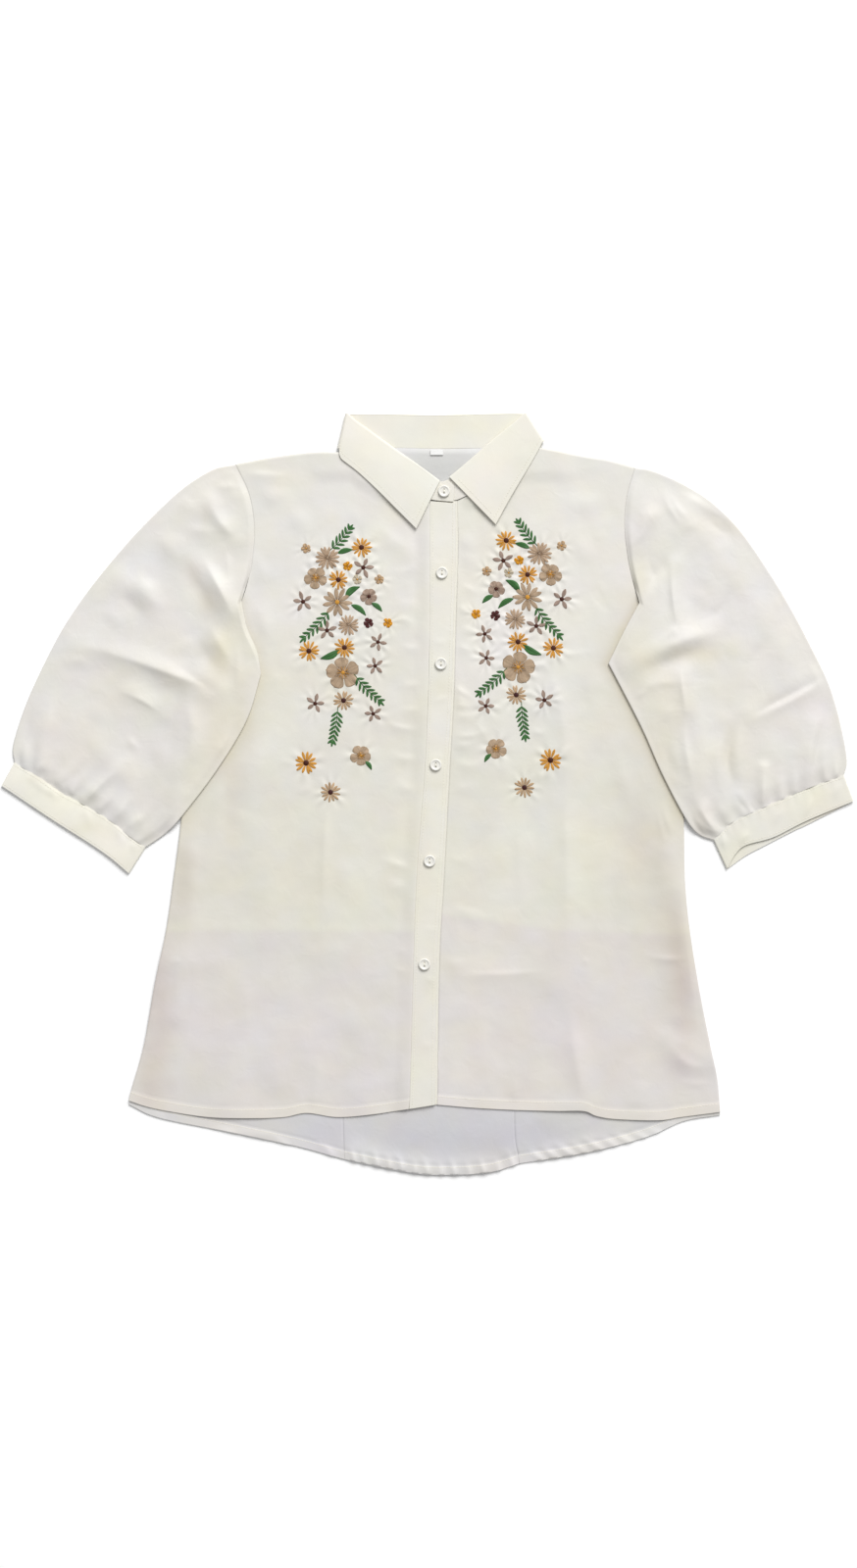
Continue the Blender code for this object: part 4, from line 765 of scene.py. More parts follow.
def front_height(points, hand):
    """Level of the middle of a front's cloth."""
    clear = smooth_step((sleeve_distance(points, hand) - 4) / 14)
    neck = NECK_RIGHT[1:] if hand == "right" else NECK_LEFT[:-1]
    rise = LIFT * smooth_step(1 - (np.abs(distance_to(points, neck)) - 3) / 14)
    if hand == "right":
        seam = np.abs(distance_to(points, PLACKET_SEAM))
        rise = np.maximum(rise, (PLACKET_LEVEL - FRONT_LEVEL) * smooth_step(1 - (seam - 1) / 15))
        seam_clear = smooth_step((seam - 1) / 12)
    else:
        rise = rise * smooth_step((points[..., 0] - 30) / 14)
        seam = np.abs(distance_to(points, moved(PLACKET_EDGE, 2.5, 0)))
        seam_clear = smooth_step((seam + 4) / 10)
    fine = creases(points, FRONT_CREASES[hand]) + puckers(points, hand)
    seed = 11 if hand == "right" else 23
    fine = fine + 0.40 * wander(points, 58, seed) + 0.26 * wander(points, 23, seed + 1) + 0.09 * wander(points, 9, seed + 2)
    fine = np.maximum(fine, -0.42 + 0.1 * np.tanh(fine)) * clear * seam_clear * collar_clear(points)
    broad = relief(points, FRONT_FOLDS[hand], BODY_MOST_RELIEF) * clear
    return FRONT_LEVEL + np.maximum(lifted(points, 6.0), rise) + broad + fine


def link_mesh(name, points, faces, tone, material):
    """One mesh facing out, from points in millimetres, with a colour at each point."""
    points = np.asarray(points, float) * MM
    mesh = bpy.data.meshes.new(name)
    mesh.from_pydata(points.tolist(), [], [list(face) for face in faces])
    item = bpy.data.objects.new(name, mesh)
    bpy.context.scene.collection.objects.link(item)
    mesh.materials.append(material)
    mesh.shade_smooth()
    colours = mesh.color_attributes.new("tone", "FLOAT_COLOR", "POINT")
    values = np.ones((len(points), 4), np.float32)
    values[:, :3] = tone
    colours.data.foreach_set("color", values.ravel())
    mesh.update()
    return item


def loop_points(grid):
    return np.concatenate([grid[0], grid[1:, -1], grid[-1, -2::-1], grid[-2:0:-1, 0]])


def faces_out(points, quads):
    corners = np.asarray(points)[quads]
    first = np.einsum("ij,ij->i", corners[:, 0], np.cross(corners[:, 1], corners[:, 2]))
    second = np.einsum("ij,ij->i", corners[:, 0], np.cross(corners[:, 2], corners[:, 3]))
    return (first + second).sum() > 0


def outward(points, faces):
    """The same quads, turned to face out where they faced in."""
    return faces if faces_out(points, faces) else faces[:, ::-1]


SHARP_ANGLE = math.radians(55)


def grid_quads(index):
    return np.stack([index[:-1, :-1], index[:-1, 1:], index[1:, 1:], index[1:, :-1]], axis=-1).reshape(-1, 4)


def loop_of(index):
    return np.concatenate([index[0], index[1:, -1], index[-1, -2::-1], index[-2:0:-1, 0]])


def shell(name, top, bottom, material, tone=None, roll=0.3, coarse=1):
    """Thin cloth between two grids of points, with a rounded rim all round. Its underside may be coarser."""
    rows, columns = top.shape[:2]
    flat_top, low = top.reshape(-1, 3), bottom[::coarse, ::coarse]
    index = np.arange(rows * columns).reshape(rows, columns)
    under = np.arange(low.shape[0] * low.shape[1]).reshape(low.shape[:2]) + rows * columns
    loop, under_loop = loop_of(index), loop_of(under)
    inner = index[np.clip(loop // columns, 1, rows - 2), np.clip(loop % columns, 1, columns - 2)]
    away = unit(flat_top[loop] - flat_top[inner])
    rim = (flat_top[loop] + loop_points(bottom)) / 2 + away * roll
    middle = rows * columns + under.size + np.arange(len(loop))
    points = np.vstack([flat_top, low.reshape(-1, 3), rim])
    quads = np.concatenate([
        grid_quads(index),
        grid_quads(under)[:, ::-1],
        np.stack([middle, np.roll(middle, -1), np.roll(loop, -1), loop], axis=-1),
    ])
    faces = quads.tolist()
    following = np.roll(under_loop, -1)
    for k in range(len(under_loop)):
        along = [int(middle[(coarse * k + step) % len(loop)]) for step in range(coarse, -1, -1)]
        faces.append([int(under_loop[k]), int(following[k])] + along)
    if not faces_out(points, quads):
        faces = [face[::-1] for face in faces]
    shade = np.ones((len(points), 3))
    if tone is not None:
        shade = np.vstack([tone.reshape(-1, 3), tone[::coarse, ::coarse].reshape(-1, 3), tone.reshape(-1, 3)[loop]])
    item = link_mesh(name, points, faces, shade, material)
    item.data.set_sharp_from_angle(angle=SHARP_ANGLE)
    return item


def tube(name, outer, inner, material, tone=None):
    """Cloth between two sets of rings, open at both ends of the tube."""
    rings, around = outer.shape[:2]
    index = np.arange(rings * around).reshape(rings, around)
    following = np.roll(index, -1, axis=1)
    wall = np.stack([index[:-1], following[:-1], following[1:], index[1:]], axis=-1).reshape(-1, 4)
    count = rings * around
    first = np.stack([following[0], index[0], index[0] + count, following[0] + count], axis=-1)
    last = np.stack([index[-1], following[-1], following[-1] + count, index[-1] + count], axis=-1)
    points = np.vstack([outer.reshape(-1, 3), inner.reshape(-1, 3)])
    faces = outward(points, np.concatenate([wall, wall[:, ::-1] + count, first, last]))
    shade = np.ones((len(points), 3))
    if tone is not None:
        shade = np.vstack([tone.reshape(-1, 3)] * 2)
    item = link_mesh(name, points, faces, shade, material)
    item.data.set_sharp_from_angle(angle=SHARP_ANGLE)
    return item


def panel(name, grid, level, material, wall=FINE_WALL, extra=0.0, tone=None, coarse=3):
    """A flat panel whose wall stands half above and half below its level."""
    top = np.concatenate([grid, (level + wall / 2 + extra)[..., None]], axis=-1)
    bottom = np.concatenate([grid, (level - wall / 2)[..., None]], axis=-1)
    return shell(name, top, bottom, material, tone, coarse=coarse), top


def nodes_of(material):
    material.use_nodes = True
    tree = material.node_tree
    return tree, tree.nodes["Principled BSDF"]


def node(tree, kind, inputs=(), **settings):
    made = tree.nodes.new(kind)
    for key, value in settings.items():
        setattr(made, key, value)
    for key, value in dict(inputs).items():
        if hasattr(value, "links"):
            tree.links.new(value, made.inputs[key])
        else:
            made.inputs[key].default_value = value
    return made


def tinted(tree, shader, amount, scale, detail):
    """Sets the base colour from the tone of each point, made lighter and darker by a soft noise."""
    place = node(tree, "ShaderNodeTexCoord").outputs["Object"]
    tone = node(tree, "ShaderNodeAttribute", attribute_name="tone").outputs["Color"]
    broad = node(tree, "ShaderNodeTexNoise", {"Vector": place, "Scale": scale, "Detail": detail}).outputs["Fac"]
    share = node(tree, "ShaderNodeMapRange", {"Value": broad, "From Min": 0.25, "From Max": 0.75,
                                              "To Min": 1 - amount, "To Max": 1 + amount}).outputs["Result"]
    mixed = node(tree, "ShaderNodeVectorMath", {0: tone, 1: share}, operation="MULTIPLY").outputs["Vector"]
    tree.links.new(mixed, shader.inputs["Base Color"])
    return place


THREAD_PITCH = 0.00052
WAVE_TURN = 2 * math.pi / 20


def cloth_material(name, roughness=0.52, sheen=0.0, weave=0.10, wrinkle=0.20, mottle=0.014):
    """Plain woven cloth: its colour is in the mesh, and the threads, slubs and small wrinkles are bumps."""
    material = bpy.data.materials.new(name)
    tree, shader = nodes_of(material)
    shader.inputs["Roughness"].default_value = roughness
    shader.inputs["Sheen Weight"].default_value = sheen
    shader.inputs["Sheen Roughness"].default_value = 0.5
    shader.inputs["Specular IOR Level"].default_value = 0.35
    place = tinted(tree, shader, mottle, 38.0, 4.0)
    scale = WAVE_TURN / THREAD_PITCH
    across = node(tree, "ShaderNodeTexWave", {"Vector": place, "Scale": scale, "Distortion": 0.6,
                                              "Detail Scale": 2.0}, bands_direction="X").outputs["Fac"]
    along = node(tree, "ShaderNodeTexWave", {"Vector": place, "Scale": scale, "Distortion": 0.6,
                                             "Detail Scale": 2.0}, bands_direction="Y").outputs["Fac"]
    threads = node(tree, "ShaderNodeMath", {0: across, 1: along}, operation="MAXIMUM").outputs["Value"]
    slub = node(tree, "ShaderNodeTexNoise", {"Vector": place, "Scale": 700.0, "Detail": 2.0}).outputs["Fac"]
    fine = node(tree, "ShaderNodeMath", {0: threads, 1: slub}, operation="ADD").outputs["Value"]
    small = node(tree, "ShaderNodeTexNoise", {"Vector": place, "Scale": 85.0, "Detail": 3.0,
                                              "Distortion": 0.6}).outputs["Fac"]
    soft = node(tree, "ShaderNodeBump", {"Height": small, "Strength": wrinkle, "Distance": 0.0012})
    bump = node(tree, "ShaderNodeBump", {"Height": fine, "Strength": weave, "Distance": 0.0002,
                                         "Normal": soft.outputs["Normal"]})
    tree.links.new(bump.outputs["Normal"], shader.inputs["Normal"])
    return material


def thread_material():
    """Glossy embroidery thread: the strands are in the mesh, and the twist is a bump."""
    material = bpy.data.materials.new("embroidery_thread")
    tree, shader = nodes_of(material)
    shader.inputs["Roughness"].default_value = 0.5
    shader.inputs["Specular IOR Level"].default_value = 0.22
    place = tinted(tree, shader, 0.10, 900.0, 2.0)
    twist = node(tree, "ShaderNodeTexNoise", {"Vector": place, "Scale": 3200.0, "Detail": 2.0}).outputs["Fac"]
    bump = node(tree, "ShaderNodeBump", {"Height": twist, "Strength": 0.35, "Distance": 0.00008})
    tree.links.new(bump.outputs["Normal"], shader.inputs["Normal"])
    return material


def pearl_material():
    """Button shell: pale and smooth with faint clouds."""
    material = bpy.data.materials.new("button_pearl")
    tree, shader = nodes_of(material)
    shader.inputs["Roughness"].default_value = 0.24
    shader.inputs["Specular IOR Level"].default_value = 0.5
    shader.inputs["Coat Weight"].default_value = 0.25
    shader.inputs["Coat Roughness"].default_value = 0.15
    place = tinted(tree, shader, 0.05, 240.0, 3.0)
    swirl = node(tree, "ShaderNodeTexNoise", {"Vector": place, "Scale": 500.0, "Distortion": 2.0}).outputs["Fac"]
    bump = node(tree, "ShaderNodeBump", {"Height": swirl, "Strength": 0.08, "Distance": 0.0003})
    tree.links.new(bump.outputs["Normal"], shader.inputs["Normal"])
    return material


CLOTH = {
    "front": cloth_material("front_cloth"),
    "back": cloth_material("back_cloth", wrinkle=0.26),
    "sleeve": cloth_material("sleeve_cloth", wrinkle=0.26),
    "band": cloth_material("band_cloth", wrinkle=0.16, weave=0.13),
    "label": cloth_material("label_cloth", roughness=0.6, wrinkle=0.08, weave=0.2),
}
THREAD = thread_material()
PEARL = pearl_material()


def tone_of(cloth, shape, change=0.0):
    """The cloth's colour at every point of a grid, with a change of brightness."""
    tone = np.ones((*shape, 3)) * display(CLOTHS[cloth])
    return tone * (1 + np.asarray(change)[..., None])


# Where the cloth is a little creamier, lighter or pinker: partly its own tone where it is pressed and doubled, partly
# painted shade in its folds, at its sides and beside the sleeves, and painted light on the cuffs and the upper fronts:
# x, y, reach across and up, then how much creamier, how much lighter and how much pinker.
TONES = {
    "front": [
        (-150, 200, 100, 100, -0.6, 0.030, 0.2),
        (-170, 110, 50, 50, 1.1, -0.005, 0.0),
        (-186, 40, 26, 60, 0.9, -0.010, 0.0),
        (-60, 250, 80, 80, -0.5, 0.030, 0.1),
        (60, 150, 80, 80, -0.5, 0.045, 0.1),
        (150, 240, 90, 90, -0.7, 0.035, 0.2),
        (100, 120, 60, 60, -0.3, 0.010, 0.3),
        (-90, -40, 120, 80, 0.3, 0.000, -0.2),
        (-60, -86, 44, 34, 0.7, -0.005, -0.3),
        (-150, -100, 50, 36, 0.5, -0.005, 0.0),
        (120, -60, 120, 80, 0.4, 0.015, -0.2),
        (150, -96, 44, 34, 0.8, -0.005, -0.3),
        (180, 10, 22, 70, 0.7, -0.010, 0.0),
        (206, -60, 24, 60, 0.9, -0.090, 1.5),
        (226, -90, 14, 50, 0.9, -0.060, 1.0),
        (242, -150, 13, 60, 1.2, -0.120, 2.6),
        (250, -200, 12, 40, 0.6, -0.080, 2.0),
        (246, -262, 16, 14, 0.4, -0.070, 1.2),
        (-236, -80, 14, 60, 1.2, -0.070, 1.6),
        (-258, -200, 13, 80, 1.0, -0.100, 2.2),
        (-270, -280, 12, 34, 0.8, -0.080, 1.8),
        (-190, 10, 10, 60, 0.8, -0.040, 0.6),
        (-176, 60, 8, 40, 0.7, -0.035, 0.4),
        (-180, -230, 60, 50, -0.5, 0.006, 0.5),
        (-110, -180, 50, 36, 0.2, 0.004, -0.4),
        (-60, -260, 44, 50, -0.3, 0.000, 0.3),
        (110, -240, 60, 40, -0.1, -0.004, 0.9),
        (200, -250, 50, 50, -0.2, 0.010, 0.4),
        (50, -190, 44, 40, 0.2, 0.012, -0.2),
        (20, -262, 50, 44, -0.3, 0.020, 0.2),
        (60, -230, 40, 50, 0.0, 0.020, 0.0),
    ],
    "sleeve": [
        (-192, 150, 20, 90, 1.1, -0.008, 0.0),
        (-226, 214, 9, 18, 1.0, -0.050, 0.8),
        (-212, 184, 10, 18, 1.4, -0.070, 0.8),
        (-200, 140, 9, 20, 1.3, -0.050, 0.6),
        (-232, 104, 26, 6, 0.6, -0.035, 0.5),
        (-280, 180, 14, 12, 0.4, -0.030, 0.3),
        (-214, 268, 6, 12, 1.2, -0.050, 0.4),
        (-180, 60, 7, 50, 0.8, -0.030, 0.3),
        (-196, 60, 22, 60, 1.1, -0.010, 0.2),
        (-218, 4, 20, 34, 1.0, -0.012, 0.2),
        (-290, 180, 70, 60, -0.5, 0.012, 0.0),
        (-340, 60, 50, 50, 0.0, 0.008, 0.8),
        (-250, 270, 50, 40, -0.3, 0.010, 0.2),
        (-262, 20, 34, 36, 0.5, 0.004, 0.1),
        (-300, 110, 30, 20, 0.4, 0.000, 0.4),
        (200, 180, 22, 60, 0.9, -0.006, 0.0),
        (200, 110, 20, 36, 1.1, -0.010, 0.1),
        (252, 136, 34, 9, 2.2, -0.065, 0.9),
        (212, 126, 12, 10, 1.2, -0.030, 0.4),
        (206, 206, 7, 26, 1.0, -0.035, 0.3),
        (226, 40, 16, 60, 0.8, 0.000, 0.0),
        (262, -20, 16, 30, 1.0, -0.020, 0.3),
        (286, 260, 30, 9, 1.2, -0.045, 0.4),
        (292, 40, 7, 34, 0.8, -0.040, 0.3),
        (338, 92, 30, 7, 0.5, -0.020, 0.2),
        (270, 110, 40, 40, 0.7, 0.000, 0.2),
        (320, 190, 70, 60, -0.4, 0.012, 0.2),
        (370, 70, 50, 60, -0.2, 0.010, 0.5),
        (250, 276, 40, 40, -0.5, 0.022, 0.0),
        (300, 30, 30, 40, 0.4, 0.004, 0.0),
    ],
    "band": [
        (12, 273, 22, 10, 0.9, -0.020, 0.0),
        (10, 240, 22, 22, -0.6, 0.025, 0.1),
        (8, 102, 22, 10, 0.9, -0.030, 0.0),
        (2, 10, 22, 9, 0.8, -0.030, 0.0),
        (-2, -92, 22, 32, 0.8, -0.010, 0.0),
        (-4, -182, 22, 16, 0.4, -0.020, 0.4),
        (-6, -250, 22, 50, 0.4, 0.000, 0.5),
        (-60, 350, 30, 16, 0.0, 0.020, 0.3),
        (-76, 306, 24, 36, 0.2, 0.050, 0.0),
        (-40, 300, 20, 26, -0.3, 0.020, 0.2),
        (92, 330, 20, 20, 0.7, -0.015, 0.0),
        (50, 296, 20, 30, -0.4, 0.005, 0.3),
        (20, 356, 40, 10, 0.6, -0.020, 0.3),
        (-396, 28, 26, 24, -0.3, 0.110, 0.1),
        (-350, -8, 36, 26, 0.6, 0.120, 0.3),
        (-304, -46, 30, 24, -0.2, 0.110, 0.2),
        (-378, 14, 12, 7, 1.2, -0.040, 0.4),
        (-326, -34, 14, 7, 1.0, -0.030, 0.4),
        (300, -46, 20, 16, 0.9, -0.012, 0.2),
        (340, -22, 14, 14, -0.4, 0.010, 0.2),
        (374, -6, 14, 12, 0.9, -0.020, 0.2),
        (400, 12, 14, 14, -0.4, 0.012, 0.2),
    ],
    "back": [
        (0, -340, 400, 60, -0.5, 0.000, 0.5),
        (-196, -326, 56, 14, 0.5, 0.030, 0.3),
        (-100, -336, 14, 16, -0.2, -0.030, 0.0),
        (-60, -344, 24, 12, 0.1, 0.030, 0.0),
        (20, -336, 60, 14, -0.9, -0.055, 0.0),
        (112, -330, 26, 14, -0.5, -0.045, 0.1),
        (196, -322, 40, 12, 0.3, 0.025, 0.3),
        (-20, 300, 30, 16, -0.8, -0.025, 0.0),
        (60, 306, 30, 16, -0.3, 0.010, 0.2),
        (150, -338, 30, 12, 0.0, -0.030, 0.0),
        (60, -346, 16, 14, 0.0, -0.040, 0.2),
    ],
}
CREAM = np.array([0.008, 0.004, -0.033])
PINK = np.array([0.003, -0.014, -0.006])
HEM_CREAM = np.array([0.040, 0.034, 0.012])
BACK_HEM_WHITE = np.array([0.150, 0.140, 0.110])
# Strength of the painted light and shade on the back's hem crinkles.
CRINKLE_PAINTED_SHADE = 0.085
PRESSED_LINE = ((-218, -134), (-14, -134), (12, -118), (125, -133), (215, -137))
MOTTLE = (0.013, 0.012, 0.010)


def pressed_level(points):
    """How far each point is above the line across the shirt where it was folded and pressed."""
    xs, ys = zip(*PRESSED_LINE)
    return points[..., 1] - np.interp(points[..., 0], xs, ys)


def cloth_tone(cloth, points, change=0.0, seed=5):
    """Colour of the cloth over a grid, with its creamier, lighter and pinker parts, partly its own tone and partly
    painted light and shade, and an uneven mottle.
    """
    plan = points[..., :2]
    cream = 0.55 * wander(plan, 46, seed) + 0.75 * wander(plan, 21, seed + 1) + 0.35 * wander(plan, 9, seed + 2)
    pink = 0.60 * wander(plan, 38, seed + 3) + 0.60 * wander(plan, 17, seed + 4)
    light = sum(share * wander(plan, cell, seed + 5) for share, cell in zip(MOTTLE, (52, 23, 11)))
    for x, y, across, up, creamier, lighter, pinker in TONES[cloth]:
        share = np.exp(-((plan[..., 0] - x) / across) ** 2 - ((plan[..., 1] - y) / up) ** 2)
        cream, light, pink = cream + creamier * share, light + lighter * share, pink + pinker * share
    if cloth == "front":
        above = pressed_level(plan)
        folded = smooth_step((above + 3.5) / 7)
        cream = cream + 0.9 * (folded - 0.6)
        pink = pink + 1.3 * (0.85 - folded)
        light = light - 0.024 * (1 - folded) + 0.014 * np.exp(-((above - 5) / 4) ** 2)
    tone = tone_of(cloth, plan.shape[:2], light + change)
    return tone * (1 + CREAM * cream[..., None] + PINK * pink[..., None])


def hem_of(grid, depth=HEM_DEPTH):
    """1 inside the hem and 0 beyond it, by the distance from the first row along each column."""
    along = lengths_along(grid)
    return 1 - smooth_step((along - depth + 0.5) / 1.0), along


def line_inside(surface, edge, inset, first=0.0, last=1.0):
    """Points of a surface a set distance in from one of its edges."""
    across = surface.transpose(1, 0, 2)
    turned = {"bottom": surface, "top": surface[::-1], "left": across, "right": across[::-1]}[edge]
    along = lengths_along(turned)
    line = [[np.interp(inset, along[:, k], turned[:, k, axis]) for axis in range(3)] for k in range(turned.shape[1])]
    start, end = int(first * (len(line) - 1)), int(last * (len(line) - 1))
    return np.array(line[start:end + 1])


STITCH_RINGS = ((-0.5, 0.4), (-0.28, 1.0), (0.28, 1.0), (0.5, 0.4))
STITCH_SIDES = 5


def stitches(name, lines, colour, width=STITCH_WIDTH, pitch=STITCH_PITCH, length=STITCH_LENGTH):
    """Rows of small thread dashes that lie half sunk along lines on the cloth, as one mesh."""
    points, faces = [], []
    for line in lines:
        along = lengths_along(line)
        for centre in np.arange(pitch / 2, along[-1] - pitch / 2, pitch):
            ends = [np.array([np.interp(centre + shift, along, line[:, k]) for k in range(3)])
                    for shift in (-length / 2, length / 2)]
            direction = unit(ends[1] - ends[0])
            side = unit(np.cross([0, 0, 1.0], direction))
            up = np.cross(direction, side)
            middle, start = (ends[0] + ends[1]) / 2 + up * 0.04, len(points)
            for shift, size in STITCH_RINGS:
                for k in range(STITCH_SIDES):
                    angle = 2 * math.pi * k / STITCH_SIDES
                    points.append(middle + direction * shift * length
                                  + side * math.cos(angle) * width / 2 * size
                                  + up * math.sin(angle) * width * 0.36 * size)
            for ring in range(len(STITCH_RINGS) - 1):
                a = start + ring * STITCH_SIDES
                for k in range(STITCH_SIDES):
                    n = (k + 1) % STITCH_SIDES
                    faces.append((a + k, a + n, a + n + STITCH_SIDES, a + k + STITCH_SIDES))
            last = start + (len(STITCH_RINGS) - 1) * STITCH_SIDES
            faces.append(tuple(start + k for k in range(STITCH_SIDES - 1, -1, -1)))
            faces.append(tuple(last + k for k in range(STITCH_SIDES)))
    return link_mesh(name, points, faces, display(colour), THREAD)


SIDE_CELLS, ARM_CELLS = 237, 117
SLEEVE_SHADE = np.array([0.080, 0.100, 0.150])
SHOULDER_CELLS, NECK_CELLS = 66, 90


SHORTEST_SPAN = 12.0


def split_at(points, y):
    """The same points cut in two at a height, without a point so near the cut that the curve would swing."""
    points = [tuple(p) for p in points]
    for (x0, y0), (x1, y1) in zip(points[:-1], points[1:]):
        if y0 <= y <= y1:
            middle = (x0 + (y - y0) / (y1 - y0) * (x1 - x0), y)
            break
    lower = [p for p in points if y - p[1] > SHORTEST_SPAN] + [middle]
    upper = [middle] + [p for p in points if p[1] - y > SHORTEST_SPAN]
    return lower, upper


def front_grid(hand):
    """The plan of a front, from its side to the placket on the right and from the placket to its side on the left."""
    right = hand == "right"
    middle_line = PLACKET_SEAM if right else moved(PLACKET_EDGE, 2.5, 0)[:-1] + [(29.0, 282.8)]
    lower, upper = split_at(middle_line, 110)
    middle = chain((lower, steps(SIDE_CELLS)), (upper, steps(ARM_CELLS)))
    side, armhole = (SIDE_RIGHT, ARMHOLE_RIGHT) if right else (SIDE_LEFT, ARMHOLE_LEFT)
    outer = chain((side, steps(SIDE_CELLS)), (armhole, steps(ARM_CELLS)))
    outer[SIDE_CELLS + 1:, 0] += SEAM_GAP * 0.2 if right else -SEAM_GAP
    middle[:, 0] += -0.2 if right else 0.2
    if right:
        middle[-1] = (1.4, 282.6)
        neck = moved(NECK_RIGHT, -NECK_GAP * 0.6, -NECK_GAP)
        shoulder = [tuple(outer[-1])] + SHOULDER_RIGHT[1:-1] + [neck[0]]
        top = chain((shoulder, steps(SHOULDER_CELLS)), (neck[:-1] + [(1.4, 282.6)], steps(NECK_CELLS)))
        bottom = curve([tuple(outer[0])] + HEM_FRONT_RIGHT[1:-1] + [tuple(middle[0])], steps(SHOULDER_CELLS + NECK_CELLS))
        return patch(outer, middle, bottom, top)
    neck = moved(NECK_LEFT, NECK_GAP * 0.6, -NECK_GAP)[:-1]
    shoulder = [tuple(outer[-1])] + SHOULDER_LEFT[1:-1] + [neck[0]]
    top = chain((shoulder, steps(SHOULDER_CELLS)), (neck + [tuple(middle[-1])], steps(NECK_CELLS)))[::-1]
    bottom = curve([tuple(middle[0])] + HEM_FRONT_LEFT[1:-1] + [tuple(outer[0])], steps(SHOULDER_CELLS + NECK_CELLS))
    return patch(middle, outer, bottom, top)


def build_fronts():
    made = {}
    for hand in ("right", "left"):
        grid = front_grid(hand)
        inside_hem, along = hem_of(grid)
        level = front_height(grid, hand)
        groove = 0.18 * np.exp(-((along - HEM_DEPTH) / 1.2) ** 2)
        # Painted shadow of the sleeve on the front: within about 17 mm of the sleeve's edge the front is painted darker
        # and warmer, less so on the right front.
        beside = np.maximum(sleeve_distance(grid, hand), 0)
        painted_sleeve_shadow = (np.exp(-(beside / 6) ** 2) + 0.6 * np.exp(-(beside / 17) ** 2)) * (0.45 if hand == "right" else 1.0)
        tone = cloth_tone("front", grid) * (1 + HEM_CREAM * inside_hem[..., None])
        tone = tone * (1 - SLEEVE_SHADE * painted_sleeve_shadow[..., None])
        cloth, top = panel(f"cloth_front_{hand}", grid, level - groove, CLOTH["front"],
                           extra=HEM_EXTRA * inside_hem, tone=tone)
        made[hand] = (cloth, top)
    return made


def build_bands():
    """The placket that laps over and the button stand under it."""
    rows = steps(300)
    left_line = moved(PLACKET_SEAM, 0.3, 0)[:-1] + [(2.3, 282.2)]
    right_line = PLACKET_EDGE
    grid = patch(curve(left_line, rows), curve(right_line, rows),
                 curve([left_line[0], right_line[0]], steps(18)), curve([left_line[-1], right_line[-1]], steps(18)))
    wave = 0.10 * wander(grid, 26, 31) + 0.05 * wander(grid, 9, 32)
    across = np.linspace(0, 1, 19)[None]
    crown = 0.22 * np.sin(math.pi * across) ** 0.5 - 0.16
    wave = wave + creases(grid, PLACKET_CREASES)
    tone = cloth_tone("band", grid, seed=33)
    placket, top = panel("placket_band", grid, PLACKET_LEVEL + wave + crown, CLOTH["band"], wall=WALL, tone=tone)
    stand_line = moved(PLACKET_EDGE, 2.5, 0)[:-1] + [(29.0, 282.8)]
    left_line, right_line = moved(PLACKET_SEAM, 3.0, 0), moved(stand_line, -0.4, 0)
    grid = patch(curve(left_line, rows), curve(right_line, rows),
                 curve([left_line[0], right_line[0]], steps(6)), curve([left_line[-1], right_line[-1]], steps(6)))
    stand, stand_top = panel("button_stand_band", grid, FRONT_LEVEL + 0.04 * wander(grid, 20, 34), CLOTH["band"],
                             tone=tone_of("band", grid.shape[:2]))
    return placket, top, stand


def hem_rows(share, close, far):
    """Fractions from the hem up, with close rows over the first share of the length."""
    return np.concatenate([np.linspace(0, share, close + 1), np.linspace(share, 1, far + 1)[1:]])


def back_level(grid):
    """Level of the middle of the back's cloth, which curls up in soft waves where its hem shows below the fronts."""
    clear = smooth_step((-321 - grid[..., 1]) / 12)
    curl = relief(grid, BACK_FOLDS, BODY_MOST_RELIEF) * clear
    curl = curl + np.maximum(creases(grid, HEM_CREASES), -0.4) * clear
    under = creases(grid, BACK_CREASES) + 0.10 * (1 + wander(grid, 50, 41)) + 0.04 * (1 + wander(grid, 16, 42))
    return BACK_LEVEL - 0.1 + lifted(grid) + curl + np.minimum(under, 0.5)


